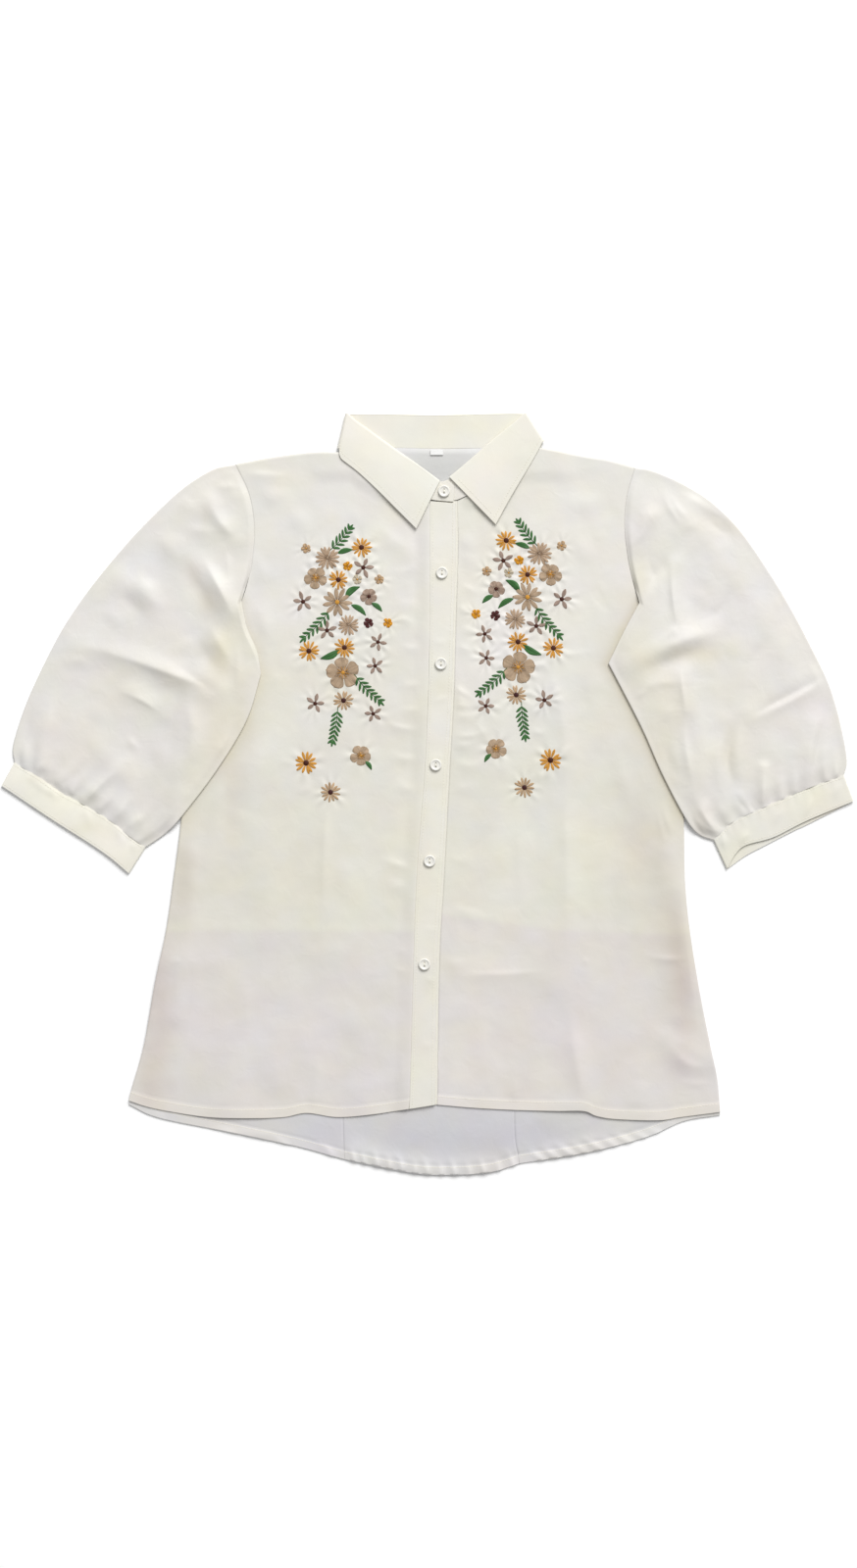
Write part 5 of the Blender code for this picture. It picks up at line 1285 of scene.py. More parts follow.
def build_backs():
    made = []
    side_rows, arm_rows = hem_rows(0.11, 33, 69), steps(42)
    for name, side, armhole, shoulder, seam, hem, away in (
        ("right", SIDE_RIGHT, ARMHOLE_RIGHT, SHOULDER_RIGHT, BACK_SEAM_RIGHT, HEM_BACK_RIGHT, -1),
        ("left", SIDE_LEFT, ARMHOLE_LEFT, SHOULDER_LEFT, BACK_SEAM_LEFT, HEM_BACK_LEFT[::-1], 1),
    ):
        outer = chain(([hem[0]] + list(side[1:]), side_rows), (armhole, arm_rows))
        outer[len(side_rows):, 0] -= away * SEAM_GAP
        lower, upper = split_at(seam, 110)
        inner = chain((lower, side_rows), (upper, arm_rows))
        inner[:, 0] += away * 0.15
        shoulder_part = [tuple(outer[-1])] + [p for p in shoulder[1:-1] if abs(p[0]) > abs(inner[-1][0]) + 8]
        top = curve(shoulder_part + [tuple(inner[-1])], steps(90))
        bottom = curve([tuple(outer[0])] + hem[1:-1] + [tuple(inner[0])], steps(90))
        made.append((f"cloth_back_side_{name}", patch(outer, inner, bottom, top)))
    rows = hem_rows(0.08, 36, 108)
    left_edge = curve(moved(BACK_SEAM_RIGHT, 0.15, 0), rows)
    right_edge = curve(moved(BACK_SEAM_LEFT, -0.15, 0), rows)
    neck = moved(NECK_BACK, 0, -SEAM_GAP)
    top = chain(([tuple(left_edge[-1]), neck[0]], steps(15)), (neck, steps(66)),
                ([neck[-1], tuple(right_edge[-1])], steps(15)))
    bottom = curve([tuple(left_edge[0])] + HEM_BACK_CENTRE[1:-1] + [tuple(right_edge[0])], steps(96))
    made.append(("cloth_back_centre", patch(left_edge, right_edge, bottom, top)))
    pieces = {}
    for name, grid in made:
        inside_hem, along = hem_of(grid, HEM_DEPTH * 0.9)
        groove = 0.15 * np.exp(-((along - HEM_DEPTH * 0.9) / 1.2) ** 2)
        # Painted light and shade on the hem crinkles: near the hem the back is painted lighter on their crests and
        # darker in their troughs.
        doubled_and_shade = CRINKLE_PAINTED_SHADE * (creases(grid, HEM_CREASES) - 0.5) * smooth_step((HEM_DEPTH * 1.5 - along) / 4)
        tone = cloth_tone("back", grid, doubled_and_shade, seed=43) * (1 + BACK_HEM_WHITE * inside_hem[..., None])
        pieces[name] = panel(name, grid, back_level(grid) - groove, CLOTH["back"],
                             extra=HEM_EXTRA * inside_hem, tone=tone)
    return pieces


EDGE_TURNS = np.radians(np.linspace(-72, 72, 9))


def rings_of(lower_plan, upper_plan, low, high, wall):
    """Flattened rings: across the lower layer, round the far edge, back across the upper layer and round."""
    half = wall / 2
    far = unit(upper_plan[:, -1] - upper_plan[:, -3])
    near = unit(upper_plan[:, 0] - upper_plan[:, 2])

    def layer(plan, level, shift):
        return np.concatenate([plan, (level + shift)[..., None]], axis=-1)

    def rolled(point, toward, bottom, top, turns, grow):
        centre, radius = ((bottom + top) / 2)[:, None], ((top - bottom) / 2 + grow)[:, None]
        plan = point[:, None] + toward[:, None] * (radius * np.cos(turns))[..., None]
        return np.concatenate([plan, (centre + radius * np.sin(turns))[..., None]], axis=-1)

    sets = []
    for sign in (1, -1):
        sets.append(np.concatenate([
            layer(lower_plan, low, -sign * half),
            rolled(lower_plan[:, -1], far, low[:, -1], high[:, -1], EDGE_TURNS, sign * half),
            layer(upper_plan, high, sign * half)[:, ::-1],
            rolled(lower_plan[:, 0], near, low[:, 0], high[:, 0], EDGE_TURNS[::-1], sign * half),
        ], axis=1))
    return sets


def inset(plan, amount):
    """The same plan with its two long edges drawn in, and the points beside them spread with them."""
    across = np.linspace(0, 1, plan.shape[1])[None, :, None]
    near = unit(plan[:, 2] - plan[:, 0])[:, None]
    far = unit(plan[:, -3] - plan[:, -1])[:, None]
    return plan + near * amount * (1 - across) ** 6 + far * amount * across ** 6


SLEEVE_RINGS, SLEEVE_COLUMNS, SLEEVE_UNDER_STEP = 170, 132, 6
UPPER_RAMP = 42.0


def build_sleeves():
    made = {}
    for hand, head, outer_edge, under_edge, seam, under_body, side, folded_at in (
        ("right", SLEEVE_HEAD_RIGHT, SLEEVE_OUTER_RIGHT, SLEEVE_UNDER_RIGHT, CUFF_SEAM_RIGHT, UNDER_RIGHT, -1, 4),
        ("left", SLEEVE_HEAD_LEFT, SLEEVE_OUTER_LEFT, SLEEVE_UNDER_LEFT, CUFF_SEAM_LEFT, UNDER_LEFT, 1, 4),
    ):
        first = int(SLEEVE_COLUMNS * 0.64)
        head_line = chain((head[:folded_at + 1], steps(first)), (head[folded_at:], steps(SLEEVE_COLUMNS - first)))
        lengths, across = steps(SLEEVE_RINGS), steps(SLEEVE_COLUMNS)
        plan = patch(curve(outer_edge, lengths), curve(under_edge, lengths), head_line, curve(seam, across))
        plan = inset(plan, LAYER_STEP / 2 + FINE_WALL / 2)
        away = distance_to(plan, under_body, side)
        low = BACK_LEVEL + (SLEEVE_ON_BODY_LEVEL - BACK_LEVEL) * smooth_step(1 - (away - UNDER_FLAT) / UNDER_RAMP)
        from_edge = np.minimum(np.linalg.norm(plan - plan[:, :1], axis=-1), np.linalg.norm(plan - plan[:, -1:], axis=-1))
        from_head = np.linalg.norm(plan - plan[:1], axis=-1)
        from_cuff = np.linalg.norm(plan - plan[-1:], axis=-1)
        seed = 51 if hand == "right" else 61
        soft = smooth_step(from_edge / 9) * smooth_step(from_head / 5)
        fine = creases(plan, SLEEVE_CREASES[hand]) + 0.5 * wander(plan, 52, seed) + 0.32 * wander(plan, 21, seed + 1)
        fine = fine + 0.10 * wander(plan, 9, seed + 2)
        turn = across[None] * 118
        uneven = 0.5 + 0.5 * wander(plan, 26, seed + 7)
        gathers = (np.sin(turn + 5 * wander(plan, 30, seed + 3)) * 0.15 * np.exp(-from_cuff / 7)
                   + np.sin(turn * 0.47 + 4 * wander(plan, 44, seed + 8)) * 0.22 * np.exp(-from_cuff / 20)) * uneven
        puff = 1.7 * smooth_step(from_edge / 34) * smooth_step(from_cuff / 18)
        broad = relief(plan, SLEEVE_FOLDS[hand], SLEEVE_MOST_RELIEF)
        rise = broad + fine + gathers + puff
        climb = (SLEEVE_ON_BODY_LEVEL - BACK_LEVEL) * smooth_step(1 - (away - UNDER_FLAT) / UPPER_RAMP)
        level = low + (BACK_LEVEL + climb - low) * soft
        high = level + LAYER_STEP + np.maximum(rise, -0.35) * soft
        lower = low + 0.12 * (1 + wander(plan, 34, seed + 4)) * smooth_step(from_edge / 9)
        few = slice(None, None, SLEEVE_UNDER_STEP)
        outer, inner = rings_of(plan[:, few], plan, lower[:, few], high, FINE_WALL)
        ring_plan = outer[..., :2]
        # Where the sleeve lies doubled over the body its tone is creamier, and a band about 12 mm out from the body's
        # side is painted darker as painted shade. Both are stronger on the right sleeve.
        beyond = distance_to(ring_plan, under_body, side)
        doubled_and_shade = smooth_step((6 - beyond) / 12)[..., None]
        edge = np.exp(-((beyond - 12) / 5.5) ** 2)
        strength = 0.9 if hand == "right" else 0.3
        tone = cloth_tone("sleeve", outer, -0.03 * edge * strength, seed) * (1 + CREAM * strength * doubled_and_shade)
        made[hand] = tube(f"cloth_sleeve_{hand}", outer, inner, CLOTH["sleeve"], tone)
    return made


CUFF_COLUMNS, CUFF_ROWS, CUFF_LAP = 90, 16, 0.35


def build_cuffs():
    made = {}
    for hand, seam, upper_edge, lower_edge in (
        ("right", CUFF_SEAM_RIGHT, CUFF_EDGE_RIGHT, CUFF_EDGE_RIGHT),
        ("left", CUFF_SEAM_LEFT, CUFF_EDGE_LEFT, CUFF_EDGE_LEFT_UNDER),
    ):
        across = steps(CUFF_COLUMNS)
        start = curve(seam, across) + np.array([0.0, CUFF_LAP])
        t = steps(CUFF_ROWS)[:, None, None]
        plans = []
        for edge in (upper_edge, lower_edge):
            plans.append(inset(start + (curve(edge, across) - start) * t, 1.3))
        upper, lower = plans
        lower[:, 0], lower[:, -1] = upper[:, 0], upper[:, -1]
        seed = 71 if hand == "right" else 81
        down = steps(CUFF_ROWS)[:, None]
        seam_wave = 0.20 * np.sin(across[None] * 96 + 2 * wander(upper, 30, seed)) * np.exp(-down * 5)
        wave = 0.16 * wander(upper, 26, seed + 1) + 0.07 * wander(upper, 9, seed + 2) + seam_wave
        wave = wave + creases(upper, CUFF_CREASES)
        crown = 0.25 * np.sin(math.pi * np.clip(down, 0, 1)) ** 0.6
        from_edge = np.minimum(np.linalg.norm(upper - upper[:, :1], axis=-1),
                               np.linalg.norm(upper - upper[:, -1:], axis=-1))
        high = CUFF_UPPER + (wave + crown) * smooth_step(from_edge / 6)
        low = np.full(high.shape, CUFF_LOWER)
        outer, inner = rings_of(lower, upper, low, high, WALL)
        tone = cloth_tone("band", outer, seed=seed + 3)
        item = tube(f"cuff_{hand}_band", outer, inner, CLOTH["band"], tone)
        top = np.concatenate([upper, (high + WALL / 2)[..., None]], axis=-1)
        made[hand] = (item, top)
    return made


def steady(values, places):
    """Values between the rows of a table, without overshooting them."""
    slopes = np.diff(values, axis=0)
    joined = slopes[:-1] * slopes[1:]
    middle = np.where(joined > 0, 2 * joined / np.where(joined > 0, slopes[:-1] + slopes[1:], 1.0), 0.0)
    tangents = np.vstack([slopes[:1], middle, slopes[-1:]])
    index = np.minimum(places.astype(int), len(values) - 2)
    t = (places - index)[:, None]
    a, b = values[index], values[index + 1]
    return (a * (1 + 2 * t) * (1 - t) ** 2 + b * t * t * (3 - 2 * t)
            + tangents[index] * t * (1 - t) ** 2 - tangents[index + 1] * t * t * (1 - t))


def collar_sections(first, last):
    """The sections of the collar with more between them: fold, neck, edge, the way each turns out, its turn and lift."""
    table = np.array(COLLAR[first:last + 1], float)
    missing = ~table[:, 4:6].any(axis=1)
    table[missing, 4:6] = table[missing, 2:4]
    places = np.linspace(0, len(table) - 1, (len(table) - 1) * COLLAR_BETWEEN + 1)
    rows = steady(table, places)
    fold, neck, edge = rows[:, 0:2], rows[:, 2:4], rows[:, 4:6]
    turn = np.radians(rows[:, 6])
    side = np.where(fold[:, 0] < 8, -1.0, 1.0)[:, None]
    fall = edge - fold
    away = unit(np.stack([-fall[:, 1], fall[:, 0]], axis=1)) * side
    return fold, neck, edge, away * np.sin(turn)[:, None], np.cos(turn), rows[:, 7]


def collar_points(plan, away_way, upright, away, lift):
    """Points on the sections, a distance out from the collar's turning line."""
    flat = plan + away_way[:, None] * away[..., None]
    return np.concatenate([flat, (COLLAR_AXIS + upright[:, None] * away + lift)[..., None]], axis=-1)


def build_collar():
    fold, neck, edge, away_way, upright, lift = collar_sections(0, len(COLLAR) - 1)
    fall = unit(edge - fold)
    start = fold + fall * (FOLD_IN + 0.45)
    t = steps(14)[None, :, None]
    plan = start[:, None] + (neck - start)[:, None] * t
    ripple = 0.10 * wander(plan, 24, 91) * np.abs(upright)[:, None]
    flat = np.zeros(plan.shape[:2])
    top = collar_points(plan, away_way, upright, flat + STAND_TURN + WALL / 2, lift[:, None] + ripple)
    bottom = collar_points(plan, away_way, upright, flat + STAND_TURN - WALL / 2, lift[:, None] + ripple)
    tone = cloth_tone("band", top, seed=92)
    stand = shell("collar_stand_band", top, bottom, CLOTH["band"], tone)

    fold, neck, edge, away_way, upright, lift = collar_sections(LEAF_FIRST, LEAF_LAST)
    fall = unit(edge - fold)
    start = fold + fall * FOLD_IN
    middle, radius = (STAND_TURN + LEAF_TURN) / 2, (LEAF_TURN - STAND_TURN) / 2
    angles = np.radians(np.linspace(0, 162, 10))[None]
    t = steps(30)
    plan = start[:, None] + (edge - start)[:, None] * t[None, :, None]
    shown = np.maximum(upright, 0)[:, None]
    swell = (0.7 * np.sin(math.pi * t)[None] + 0.14 * wander(plan, 30, 93) + 0.06 * wander(plan, 11, 94)
             * np.sin(math.pi * t)[None]) * shown
    layers = []
    for grow in (WALL / 2, -WALL / 2):
        size = radius + grow
        roll = start[:, None] - fall[:, None] * (np.sin(angles) * size)[..., None]
        rolled = collar_points(roll, away_way, upright, middle - np.cos(angles) * size + 0 * upright[:, None], 0.0)
        rest = collar_points(plan, away_way, upright, np.full(plan.shape[:2], LEAF_TURN + grow), swell)
        layers.append(np.concatenate([rolled, rest], axis=1))
    tone = cloth_tone("band", layers[0], 0.02, seed=95)
    leaf = shell("collar_leaf_cloth", layers[0], layers[1], CLOTH["band"], tone)
    leaf_top = layers[0][:, angles.shape[1]:]
    return stand, top, leaf, leaf_top


LABEL_WALL, LABEL_HALF = 0.34, 0.27


def build_label():
    """A short strip folded in two, with its fold towards the collar's opening."""
    x, y = LABEL_CENTRE
    w, h = LABEL_SIZE[0] / 2, LABEL_SIZE[1] / 2
    level = BACK_LEVEL + LIFT + WALL + 0.3
    out = np.linspace(h, LABEL_HALF - h, 9)
    turn = np.radians(np.linspace(-75, 75, 7))
    lower = [((y + s, level - LABEL_HALF), (0.0, -1.0)) for s in out]
    bend = [((y - h + LABEL_HALF - LABEL_HALF * math.cos(a), level + LABEL_HALF * math.sin(a)),
             (-math.cos(a), math.sin(a))) for a in turn]
    upper = [((y + s, level + LABEL_HALF), (0.0, 1.0)) for s in out[::-1]]
    path = np.array([place for place, way in lower + bend + upper])
    ways = np.array([way for place, way in lower + bend + upper])
    xs = np.linspace(x - w, x + w, 25)
    crown = 0.10 * np.sin(np.linspace(0, math.pi, 25))
    layers = []
    for side in (1, -1):
        line = path + ways * side * LABEL_WALL / 2
        grid = np.zeros((len(path), len(xs), 3))
        grid[..., 0], grid[..., 1], grid[..., 2] = xs[None], line[:, :1], line[:, 1:] + crown[None]
        layers.append(grid)
    return shell("label_strip", layers[0], layers[1], CLOTH["label"], tone_of("label", layers[0].shape[:2]), roll=0.1)


BUTTON_PROFILE = [(0.0, 0.0), (4.8, 0.0), (5.35, 0.22), (5.7, 0.7), (5.7, 1.4), (5.5, 1.85), (5.1, 2.08), (4.6, 2.1),
                  (4.15, 1.95), (3.75, 1.62), (3.3, 1.42), (2.9, 1.4)]


def build_button(number, x, y, base):
    """A round button with a rolled rim, a dished face and two holes with thread through them."""
    import bmesh
    shape = bmesh.new()
    rings = []
    for radius, height in BUTTON_PROFILE[1:]:
        angles = [2 * math.pi * k / BUTTON_SIDES for k in range(BUTTON_SIDES)]
        rings.append([shape.verts.new((radius * math.cos(a), radius * math.sin(a), height)) for a in angles])
    for low, high in zip(rings[:-1], rings[1:]):
        for k in range(BUTTON_SIDES):
            n = (k + 1) % BUTTON_SIDES
            shape.faces.new((low[k], low[n], high[n], high[k]))
    hole_sides, holes = 20, []
    for side in (-1, 1):
        pair = []
        for size, height in ((1.0, 0.0), (1.0, 1.22), (1.22, 1.4)):
            pair.append([
                shape.verts.new((size * BUTTON_HOLE * math.cos(2 * math.pi * k / hole_sides),
                                 side * BUTTON_HOLE_APART / 2
                                 + size * BUTTON_HOLE * math.sin(2 * math.pi * k / hole_sides), height))
                for k in range(hole_sides)
            ])
        for low, high in zip(pair[:-1], pair[1:]):
            for k in range(hole_sides):
                n = (k + 1) % hole_sides
                shape.faces.new((low[n], low[k], high[k], high[n]))
        holes.append(pair)
    for rim, level in ((rings[0], 0), (rings[-1], -1)):
        edges = [shape.edges.get((rim[k], rim[(k + 1) % BUTTON_SIDES])) for k in range(BUTTON_SIDES)]
        for pair in holes:
            ring = pair[level]
            edges += [shape.edges.get((ring[k], ring[(k + 1) % hole_sides])) for k in range(hole_sides)]
        bmesh.ops.triangle_fill(shape, use_beauty=True, edges=edges, normal=(0, 0, -1 if level == 0 else 1))
    bmesh.ops.recalc_face_normals(shape, faces=shape.faces)
    shape.verts.index_update()
    points = [(v.co.x + x, v.co.y + y, v.co.z + base) for v in shape.verts]
    faces = [[v.index for v in face.verts] for face in shape.faces]
    shape.free()
    item = link_mesh(f"pearl_button_{number}", points, faces, display(CLOTHS["pearl"]), PEARL)
    item.data.set_sharp_from_angle(angle=math.radians(38))
    return item


def button_thread(lines, x, y, base):
    """Three strands of sewing thread from one hole of a button to the other."""
    for shift in (-0.36, 0.0, 0.36):
        t = np.linspace(0, 1, 9)
        half = BUTTON_HOLE_APART / 2
        line = np.stack([np.full(9, x + shift * 0.9), y - half + 2 * half * t,
                         base + 1.05 + 0.85 * np.sin(math.pi * t) ** 0.6 - 0.10 * abs(shift)], axis=1)
        lines.append(line)


def threads(name, lines, radius, colour, sides=7):
    """Round threads along lines, as one mesh of closed tubes."""
    points, faces = [], []
    for line in lines:
        start = len(points)
        forward = unit(np.gradient(line, axis=0))
        side = unit(np.cross(np.broadcast_to([0, 0, 1.0], line.shape), forward))
        up = np.cross(forward, side)
        for k in range(len(line)):
            for s in range(sides):
                angle = 2 * math.pi * s / sides
                points.append(line[k] + side[k] * math.cos(angle) * radius + up[k] * math.sin(angle) * radius)
        for k in range(len(line) - 1):
            for s in range(sides):
                n = (s + 1) % sides
                a = start + k * sides
                faces.append((a + s, a + n, a + n + sides, a + s + sides))
        last = start + (len(line) - 1) * sides
        faces.append(tuple(start + s for s in range(sides - 1, -1, -1)))
        faces.append(tuple(last + s for s in range(sides)))
    return link_mesh(name, points, faces, display(colour), THREAD)


class Satin:
    """Collects satin stitched shapes as one mesh. Each is a low dome of strands, closed underneath."""

    def __init__(self, seed):
        self.plans, self.rises, self.tones, self.faces, self.count = [], [], [], [], 0
        self.chance = np.random.default_rng(seed)

    def add(self, plan, rise, tone):
        """A patch from a grid, whose edge goes down into the cloth."""
        rows, columns = rise.shape
        index = np.arange(rows * columns).reshape(rows, columns) + self.count
        quads = np.stack([index[:-1, :-1], index[:-1, 1:], index[1:, 1:], index[1:, :-1]], axis=-1).reshape(-1, 4)
        loop = np.concatenate([index[0], index[1:, -1], index[-1, -2::-1], index[-2:0:-1, 0]])
        corners = plan.reshape(-1, 2)[quads[len(quads) // 2] - self.count]
        a, b = corners[1] - corners[0], corners[2] - corners[0]
        if a[0] * b[1] - a[1] * b[0] < 0:
            quads, loop = quads[:, ::-1], loop[::-1]
        self.faces += [tuple(q) for q in quads] + [tuple(loop[::-1])]
        self.plans.append(plan.reshape(-1, 2))
        self.rises.append(rise.ravel())
        self.tones.append(tone.reshape(-1, 3))
        self.count += rows * columns

    def petal(self, base, angle, length, width, tone, fullness=0.62, blunt=0.5, dome=0.55, rows=9, bend=0.0,
              tip_tone=None, notch=0.0):
        """A petal of strands that run from its base to its tip."""
        strands = max(3, int(round(width / STRAND)))
        columns = 2 * strands + 1
        s, t = np.linspace(0, 1, rows)[:, None], np.linspace(-1, 1, columns)[None]
        outline = np.sin(math.pi * s ** fullness) ** blunt
        half = np.maximum(width / 2 * outline, 0.12)
        forward = np.array([math.cos(angle), math.sin(angle)])
        side = np.array([-forward[1], forward[0]])
        sway = bend * np.sin(math.pi * s)
        reach = s * length * (1 - 0.10 * notch * smooth_step((s - 0.6) / 0.4) * (1 - np.abs(t)) ** 2)
        plan = np.asarray(base) + forward * reach[..., None] + side * (t * half + sway)[..., None]
        ridge = 0.5 - 0.5 * np.cos(math.pi * (t + 1) * strands)
        rise = dome * (1 - t ** 2) ** 0.5 * np.sin(math.pi * np.clip(s, 0.02, 0.98)) ** 0.35 + 0.13 * (ridge - 0.5)
        edge = (np.abs(t) > 0.999) | (s < 1e-6) | (s > 1 - 1e-6)
        rise = np.where(edge, -RIM_SINK, np.maximum(rise, 0.05))
        share = self.chance.uniform(-1, 1, strands + 1)
        each = np.interp((t[0] + 1) / 2 * strands, np.arange(strands + 1), share)[None]
        # Each strand is a little lighter or darker at random. The grooves between strands are painted darker and their
        # crests lighter, as painted shade and light.
        shade = 1 + 0.13 * each + 0.10 * (ridge - 0.6) + 0.06 * self.chance.uniform(-1, 1)
        tip = np.asarray(tone if tip_tone is None else tip_tone)
        blend = smooth_step((s - 0.15) / 0.6)[..., None] * np.ones((1, columns, 1))
        mixed = np.asarray(tone) * (1 - blend) + tip * blend
        self.add(plan, rise, mixed * np.broadcast_to(shade, rise.shape)[..., None])

    def leaf(self, base, tip, width, bend, tone):
        """A leaf with a midrib, and strands that slant out from it."""
        base, tip = np.asarray(base, float), np.asarray(tip, float)
        length = np.linalg.norm(tip - base)
        rows, columns = int(length / 0.26), 13
        forward = (tip - base) / length
        side = np.array([-forward[1], forward[0]])
        s, t = np.linspace(0, 1, rows)[:, None], np.linspace(-1, 1, columns)[None]
        half = np.maximum(width / 2 * np.sin(math.pi * s ** 0.85) ** 0.8, 0.14)
        plan = (base + forward * (s * length)[..., None] * np.ones((1, columns, 1))
                + side * (t * half + bend * np.sin(math.pi * s))[..., None])
        slant = s * length / STRAND / 1.1 - np.abs(t) * half / STRAND
        ridge = 0.5 + 0.5 * np.cos(2 * math.pi * slant)
        groove = np.exp(-(t / 0.16) ** 2)
        crown = 0.26 + 0.24 * smooth_step(s * 3.5)
        rise = crown * (1 - t ** 2) ** 0.5 + 0.13 * (ridge - 0.5) - 0.22 * groove
        edge = (np.abs(t) > 0.999) | (s < 1e-6) | (s > 1 - 1e-6)
        rise = np.where(edge, -RIM_SINK, np.maximum(rise, 0.05))
        # Painted shade in the midrib groove and between the strands, painted light on their crests, and one half of the
        # leaf painted lighter than the other, with a little random tone row by row.
        shade = 1 + 0.16 * (ridge - 0.5) - 0.22 * groove + 0.08 * np.sign(t) * (np.abs(t) > 0.05)
        shade = shade + 0.07 * self.chance.uniform(-1, 1, (rows, 1))
        self.add(plan, rise, np.asarray(tone) * shade[..., None])

    def centre(self, place, radius, tone, dome=0.85, knots=9):
        """The raised middle of a flower, of small knots."""
        rows, columns = 6, 27
        r = np.linspace(0.04, 1, rows)[:, None]
        angles = np.linspace(0, 2 * math.pi, columns, endpoint=False)
        start = self.count
        plan = np.asarray(place) + (r * radius)[..., None] * np.stack([np.cos(angles), np.sin(angles)], axis=-1)[None]
        lumps = np.cos(knots * angles[None] + 5 * r) * np.sin(math.pi * r)
        rise = dome * (1 - r ** 2) ** 0.5 + 0.12 * lumps
        rise[-1] = -RIM_SINK
        index = np.arange(rows * columns).reshape(rows, columns) + start
        turned = np.roll(index, -1, axis=1)
        quads = np.stack([index[:-1], index[1:], turned[1:], turned[:-1]], axis=-1).reshape(-1, 4)
        self.faces += [tuple(q) for q in quads] + [tuple(index[0]), tuple(index[-1][::-1])]
        # The raised knots are painted lighter and the hollows between them darker, as painted light and shade, with a
        # little random tone.
        shade = 1 + 0.25 * lumps + 0.10 * self.chance.uniform(-1, 1, (rows, columns))
        self.plans.append(plan.reshape(-1, 2))
        self.rises.append(rise.ravel())
        self.tones.append((np.asarray(tone) * shade[..., None]).reshape(-1, 3))
        self.count += rows * columns

    def stem(self, line, width, tone):
        """A narrow satin line."""
        forward = unit(np.gradient(line, axis=0))
        side = np.stack([-forward[:, 1], forward[:, 0]], axis=1)
        t = np.linspace(-1, 1, 5)[None]
        taper = np.linspace(1.0, 0.6, len(line))[:, None]
        plan = line[:, None] + side[:, None] * (t * width / 2 * taper)[..., None]
        twist = 0.06 * np.cos(np.arange(len(line)) * 1.7)[:, None]
        rise = 0.42 * (1 - t ** 2) ** 0.5 + twist * (np.abs(t) < 0.9)
        rise = np.where(np.abs(t) > 0.999, -RIM_SINK, rise)
        rise[0] = rise[-1] = -RIM_SINK
        # The raised twists of the stem are painted lighter and the low ones darker, as painted light and shade.
        shade = np.ones(rise.shape) + 2 * twist
        self.add(plan, rise, np.asarray(tone) * shade[..., None])

    def finish(self, name, place, hand):
        """The mesh of all the shapes, laid on a front."""
        plan, rise = np.concatenate(self.plans), np.concatenate(self.rises)
        shown = place(plan)
        level = front_height(shown, hand) + FINE_WALL / 2 + THREAD_LIFT
        points = np.concatenate([shown, (level + rise)[:, None]], axis=1)
        faces = [face[::-1] for face in self.faces] if place is mirrored else self.faces
        item = link_mesh(name, points, faces, np.clip(np.concatenate(self.tones), 0, 1), THREAD)
        item.data.set_sharp_from_angle(angle=math.radians(70))
        return item


def ring_of(count, first, chance, uneven=0.05):
    """The directions of petals round a flower, a little uneven."""
    return [math.radians(first) + 2 * math.pi * (k + uneven * chance.uniform(-1, 1)) / count for k in range(count)]


def add_flower(satin, kind, thread, x, y, size, first):
    """One flower of the spray."""
    place, radius = np.array([x, y]), size / 2
    tone = display(THREADS[thread])
    dark, gold = display(THREADS["dark"]), display(THREADS["gold"])
    chance = satin.chance

    def petals(count, base, length, width, rows=9, spread=0.05, **form):
        for angle in ring_of(count, first, chance, spread):
            way = np.array([math.cos(angle), math.sin(angle)])
            stretch = 1 + 0.08 * chance.uniform(-1, 1)
            satin.petal(place + way * base, angle, length * stretch, width, tone, rows=rows, **form)

    if kind == "daisy":
        petals(13, radius * 0.12, radius * 0.88, size * 0.122, rows=8, spread=0.22, fullness=1.35, blunt=0.72)
        satin.centre(place, radius * 0.26, dark if thread == "orange" else display(THREADS["maroon"]) * 0.62)
    elif kind == "aster":
        petals(15, radius * 0.02, radius * 0.98, size * 0.128, rows=9, spread=0.2, fullness=1.6, blunt=0.72,
               tip_tone=tone * 1.06)
        satin.centre(place, radius * 0.10, tone * 0.85, dome=0.6, knots=5)
    elif kind == "long":
        petals(11, radius * 0.06, radius * 0.94, size * 0.150, rows=11, spread=0.14, fullness=1.35, blunt=0.8,
               tip_tone=tone * 1.08)
        satin.centre(place, radius * 0.17, gold, knots=11)
    elif kind == "wide":
        satin.centre(place, radius * 0.45, tone * 0.92, dome=0.28, knots=25)
        petals(5, radius * 0.06, radius * 0.96, size * 0.455, rows=15, spread=0.03, fullness=1.8, blunt=0.6, dome=0.42,
               tip_tone=tone * 1.08, notch=-0.6)
        for angle in ring_of(9, first + 10, chance, 0.2):
            way = np.array([math.cos(angle), math.sin(angle)])
            satin.petal(place + way * radius * 0.08, angle, radius * 0.34, 0.75, gold, dome=0.85, fullness=1.0)
        satin.centre(place, radius * 0.13, gold * 0.95, dome=1.0, knots=5)
    elif kind == "round":
        petals(5, radius * 0.06, radius * 0.94, size * 0.46, rows=14, spread=0.04, fullness=1.75, blunt=0.62, dome=0.45)
        satin.centre(place, radius * 0.24, dark)
    elif kind == "star":
        petals(5, radius * 0.12, radius * 0.90, size * 0.205, rows=10, spread=0.08, fullness=1.1, blunt=0.85,
               tip_tone=tone * 1.05)
        satin.centre(place, radius * 0.22, dark)
    elif kind == "small":
        petals(5, radius * 0.08, radius * 0.94, size * 0.42, rows=9, spread=0.08, fullness=1.6, blunt=0.6)
        middle = gold if thread in ("pale", "sand") else dark if thread == "maroon" else gold * 0.7
        satin.centre(place, radius * 0.20, middle, dome=0.8, knots=5)


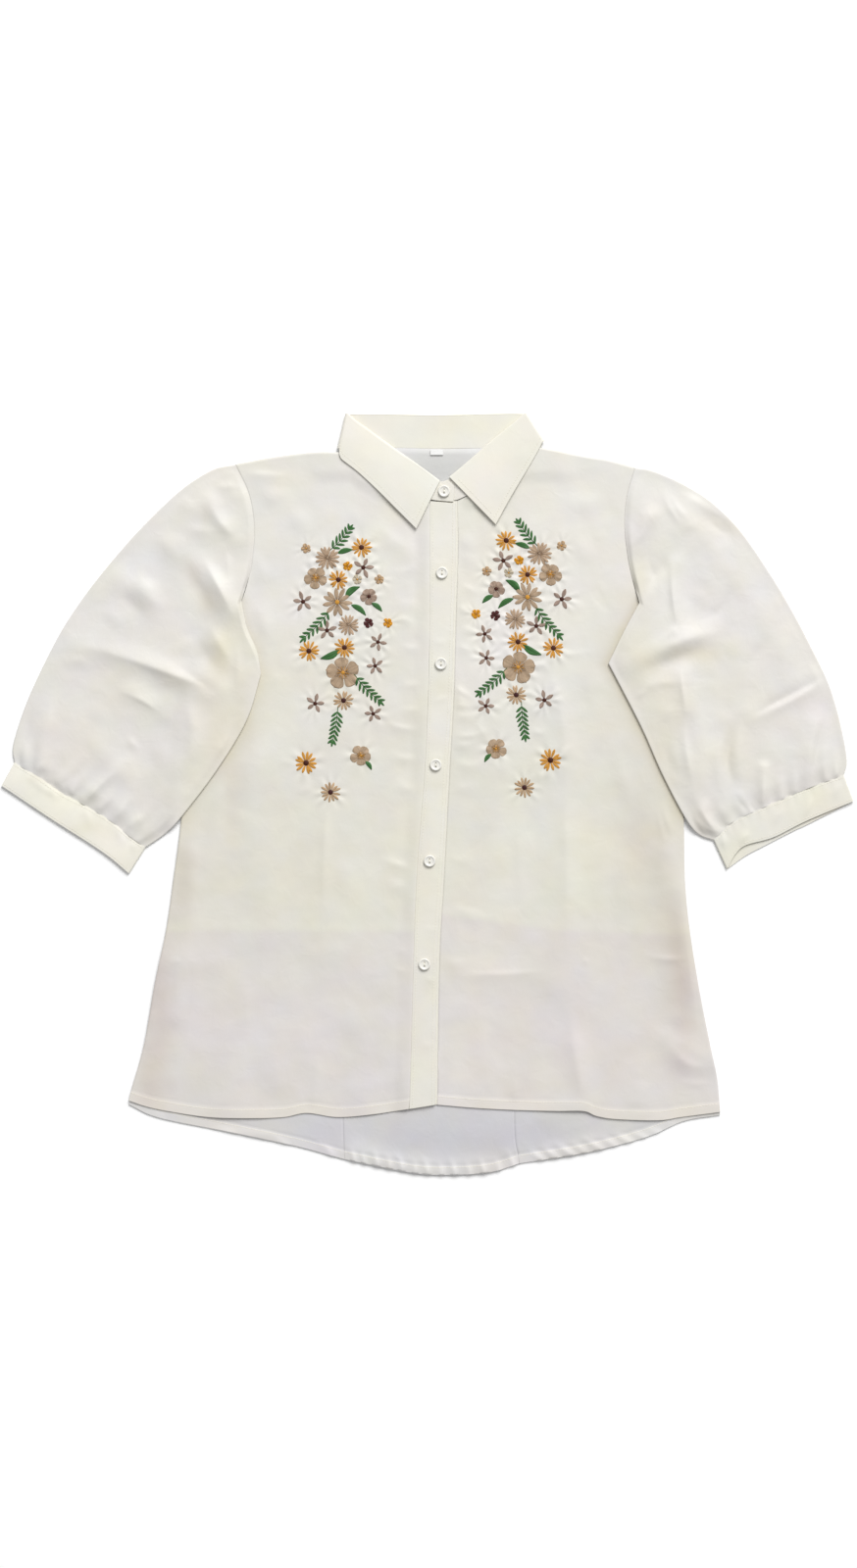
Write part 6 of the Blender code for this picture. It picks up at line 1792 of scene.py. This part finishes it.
def add_fern(satin, x0, y0, x1, y1, pairs, size, bend):
    """A curved stem with pairs of slender leaflets and one at its tip."""
    start, end = np.array([x0, y0]), np.array([x1, y1])
    forward = unit(end - start)
    side = np.array([-forward[1], forward[0]])
    stem_end = start + (end - start) * 0.86
    line = curve([start, (start + stem_end) / 2 + side * bend, stem_end], steps(26))
    green = display(THREADS["leaf"])
    satin.stem(line, 0.9, display(THREADS["stem"]))
    for k in range(pairs):
        share = 0.16 + 0.80 * k / (pairs - 1)
        point = np.array([np.interp(share, steps(26), line[:, axis]) for axis in range(2)])
        along = unit(line[min(int(share * 26) + 1, 26)] - line[max(int(share * 26) - 1, 0)])
        heading = math.atan2(along[1], along[0])
        length = size * (1.05 - 0.35 * share) * (0.8 if k == 0 else 1.0)
        for way in (-1, 1):
            angle = heading + way * math.radians(47 - 9 * share)
            base = point + way * 0.15 * np.array([-along[1], along[0]])
            satin.petal(base, angle, length * (1 + 0.06 * satin.chance.uniform(-1, 1)), 2.7, green, fullness=1.0,
                        blunt=0.8, dome=0.5, bend=-0.4 * way, rows=10)
    satin.petal(stem_end, math.atan2(forward[1], forward[0]), np.linalg.norm(end - stem_end) + 1.2, 2.4, green,
                fullness=0.9, blunt=0.8, rows=10)


def build_embroidery(hand):
    satin = Satin(101)
    for fern in FERNS:
        add_fern(satin, *fern)
    for x0, y0, x1, y1, width, bend in LEAVES:
        satin.leaf((x0, y0), (x1, y1), width, bend, display(THREADS["leaf"]))
    for flower in FLOWERS:
        add_flower(satin, *flower)
    place = (lambda points: points) if hand == "right" else mirrored
    return satin.finish(f"embroidery_{hand}", place, hand)


def dress():
    """All the pieces, with what each stands for."""
    fronts, backs = build_fronts(), build_backs()
    placket, placket_top, stand_band = build_bands()
    sleeves, cuffs = build_sleeves(), build_cuffs()
    collar_stand, stand_top, leaf, leaf_top = build_collar()
    label = build_label()
    embroidery = {hand: build_embroidery(hand) for hand in ("right", "left")}
    ivory = THREADS["ivory"]
    sewing = {
        "front_right": stitches("hem_stitches_right", [line_inside(fronts["right"][1], "bottom", HEM_DEPTH - 1.6)], ivory),
        "front_left": stitches("hem_stitches_left", [line_inside(fronts["left"][1], "bottom", HEM_DEPTH - 1.6)], ivory),
        "placket": stitches("placket_stitches", [line_inside(placket_top, "left", 2.6),
                                                 line_inside(placket_top, "right", 2.6)], ivory),
        "back": stitches("back_stitches", [line_inside(top, "bottom", HEM_DEPTH * 0.9 - 1.4)
                                           for item, top in backs.values()], ivory),
        "cuff_right": stitches("cuff_stitches_right", [line_inside(cuffs["right"][1], "bottom", 2.4),
                                                       line_inside(cuffs["right"][1], "top", 2.4)], ivory),
        "cuff_left": stitches("cuff_stitches_left", [line_inside(cuffs["left"][1], "bottom", 2.4),
                                                     line_inside(cuffs["left"][1], "top", 2.4)], ivory),
        "collar": stitches("collar_stitches", [
            line_inside(leaf_top[:46], "right", 4.6),
            line_inside(leaf_top[-36:], "right", 4.6),
            line_inside(leaf_top, "bottom", 4.6, 0.1, 0.9),
            line_inside(leaf_top, "top", 4.6, 0.1, 0.9),
        ], ivory),
    }
    buttons, strands = [], []
    for number, (x, y) in enumerate(BUTTONS, start=1):
        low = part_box(f"button_{number}")[0]
        base = low.z / MM
        buttons.append(build_button(number, x, y, base))
        button_thread(strands, x, y, base)
    button_threads = threads("button_threads", strands, 0.24, ivory)

    cloths = [
        (fronts["right"][0], "front_right", "front_cloth", (0.291, 0.648), 0.158, "laid",
         ["cloth_back_side_right", "cloth_back_centre"], [sewing["front_right"], embroidery["right"]]),
        (fronts["left"][0], "front_left", "front_cloth", (0.290, 0.655), 0.152, "laid",
         ["cloth_back_side_left", "cloth_back_centre"], [sewing["front_left"], embroidery["left"]]),
        (backs["cloth_back_side_right"][0], "back_side_right", "back_cloth", (0.215, 0.660), 0.092, "laid", [], []),
        (backs["cloth_back_side_left"][0], "back_side_left", "back_cloth", (0.200, 0.660), 0.086, "laid", [], []),
        (backs["cloth_back_centre"][0], "back_centre", "back_cloth", (0.276, 0.706), 0.144, "laid", [],
         [sewing["back"]]),
        (placket, "placket", "band_cloth", (0.0255, 0.588), None, "laid", ["button_stand_band"],
         [sewing["placket"], button_threads, *buttons]),
        (stand_band, "button_stand", "band_cloth", (0.025, 0.588), None, "laid", ["cloth_back_centre"], []),
        (sleeves["right"], "sleeve_right", "sleeve_cloth", (0.430, 0.370), 0.130, "gathered",
         ["cloth_front_right"], []),
        (sleeves["left"], "sleeve_left", "sleeve_cloth", (0.430, 0.370), 0.130, "gathered", ["cloth_front_left"], []),
        (cuffs["right"][0], "cuff_right", "band_cloth", (0.300, 0.027), None, "laid", ["cloth_sleeve_right"],
         [sewing["cuff_right"]]),
        (cuffs["left"][0], "cuff_left", "band_cloth", (0.300, 0.027), None, "laid", ["cloth_sleeve_left"],
         [sewing["cuff_left"]]),
        (collar_stand, "collar_stand", "band_cloth", (0.430, 0.036), None, "laid", ["cloth_back_centre"], []),
        (leaf, "collar_leaf", "band_cloth", (0.450, 0.052), None, "folded", ["collar_stand_band"],
         [sewing["collar"]]),
        (label, "neck_label", "label_cloth", (0.012, 0.010), None, "folded", ["cloth_back_centre"], []),
    ]
    for piece, cad_node, slot, flat, area, held, rests_on, extra in cloths:
        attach(piece, "root")
        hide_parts(cad_node)
    for piece in sewing.values():
        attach(piece, "root")
    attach(button_threads, "root")
    for piece in embroidery.values():
        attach(piece, "root")
    for number, piece in enumerate(buttons, start=1):
        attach(piece, "root")
        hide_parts(f"button_{number}")


def floor_material():
    material = bpy.data.materials.new("floor_paper")
    tree, shader = nodes_of(material)
    shader.inputs["Roughness"].default_value = 0.9
    shader.inputs["Specular IOR Level"].default_value = 0.1
    tinted(tree, shader, 0.004, 3.0, 2.0)
    return material


FLOOR_HALF, FLOOR_DROP = 6000.0, 0.4


def make_floor():
    corners = [(-FLOOR_HALF, -FLOOR_HALF), (FLOOR_HALF, -FLOOR_HALF), (FLOOR_HALF, FLOOR_HALF), (-FLOOR_HALF, FLOOR_HALF)]
    points = [(x, y, -FLOOR_DROP) for x, y in corners]
    floor = link_mesh("floor", points, [(0, 1, 2, 3)], display(CLOTHS["floor"]), floor_material())


def add_light(name, kind, energy, place, target, **settings):
    data = bpy.data.lights.new(name, kind)
    data.energy = energy
    for key, value in settings.items():
        setattr(data, key, value)
    item = bpy.data.objects.new(name, data)
    bpy.context.scene.collection.objects.link(item)
    item.location = place
    from mathutils import Vector
    way = Vector(target) - Vector(place)
    item.rotation_mode = "QUATERNION"
    item.rotation_quaternion = way.to_track_quat("-Z", "Y")
    return item


VIEW_HEIGHT, VIEW_CENTRE, CAMERA_DISTANCE, SENSOR = 1.520, (0.00095, 0.00855), 3.0, 36.0


def make_studio():
    """Soft light from the collar's side and a little from the left, and a camera straight above."""
    add_light("key", "SUN", 2.55, (0.85, 2.15, 2.08), (0, 0, 0), angle=math.radians(34))
    add_light("top", "AREA", 10.5, (0.3, 1.6, 1.3), (0, 0, 0), size=1.2)
    world = bpy.data.worlds.new("studio")
    bpy.context.scene.world = world
    world.use_nodes = True
    background = world.node_tree.nodes["Background"]
    background.inputs["Color"].default_value = (1.0, 1.0, 1.0, 1.0)
    background.inputs["Strength"].default_value = 0.43
    data = bpy.data.cameras.new("camera")
    data.sensor_width = SENSOR
    data.lens = SENSOR * CAMERA_DISTANCE / VIEW_HEIGHT
    camera = bpy.data.objects.new("camera", data)
    bpy.context.scene.collection.objects.link(camera)
    camera.location = (*VIEW_CENTRE, CAMERA_DISTANCE)
    bpy.context.scene.camera = camera
    bpy.context.scene.view_settings.view_transform = "Standard"


dress()
make_floor()
make_studio()
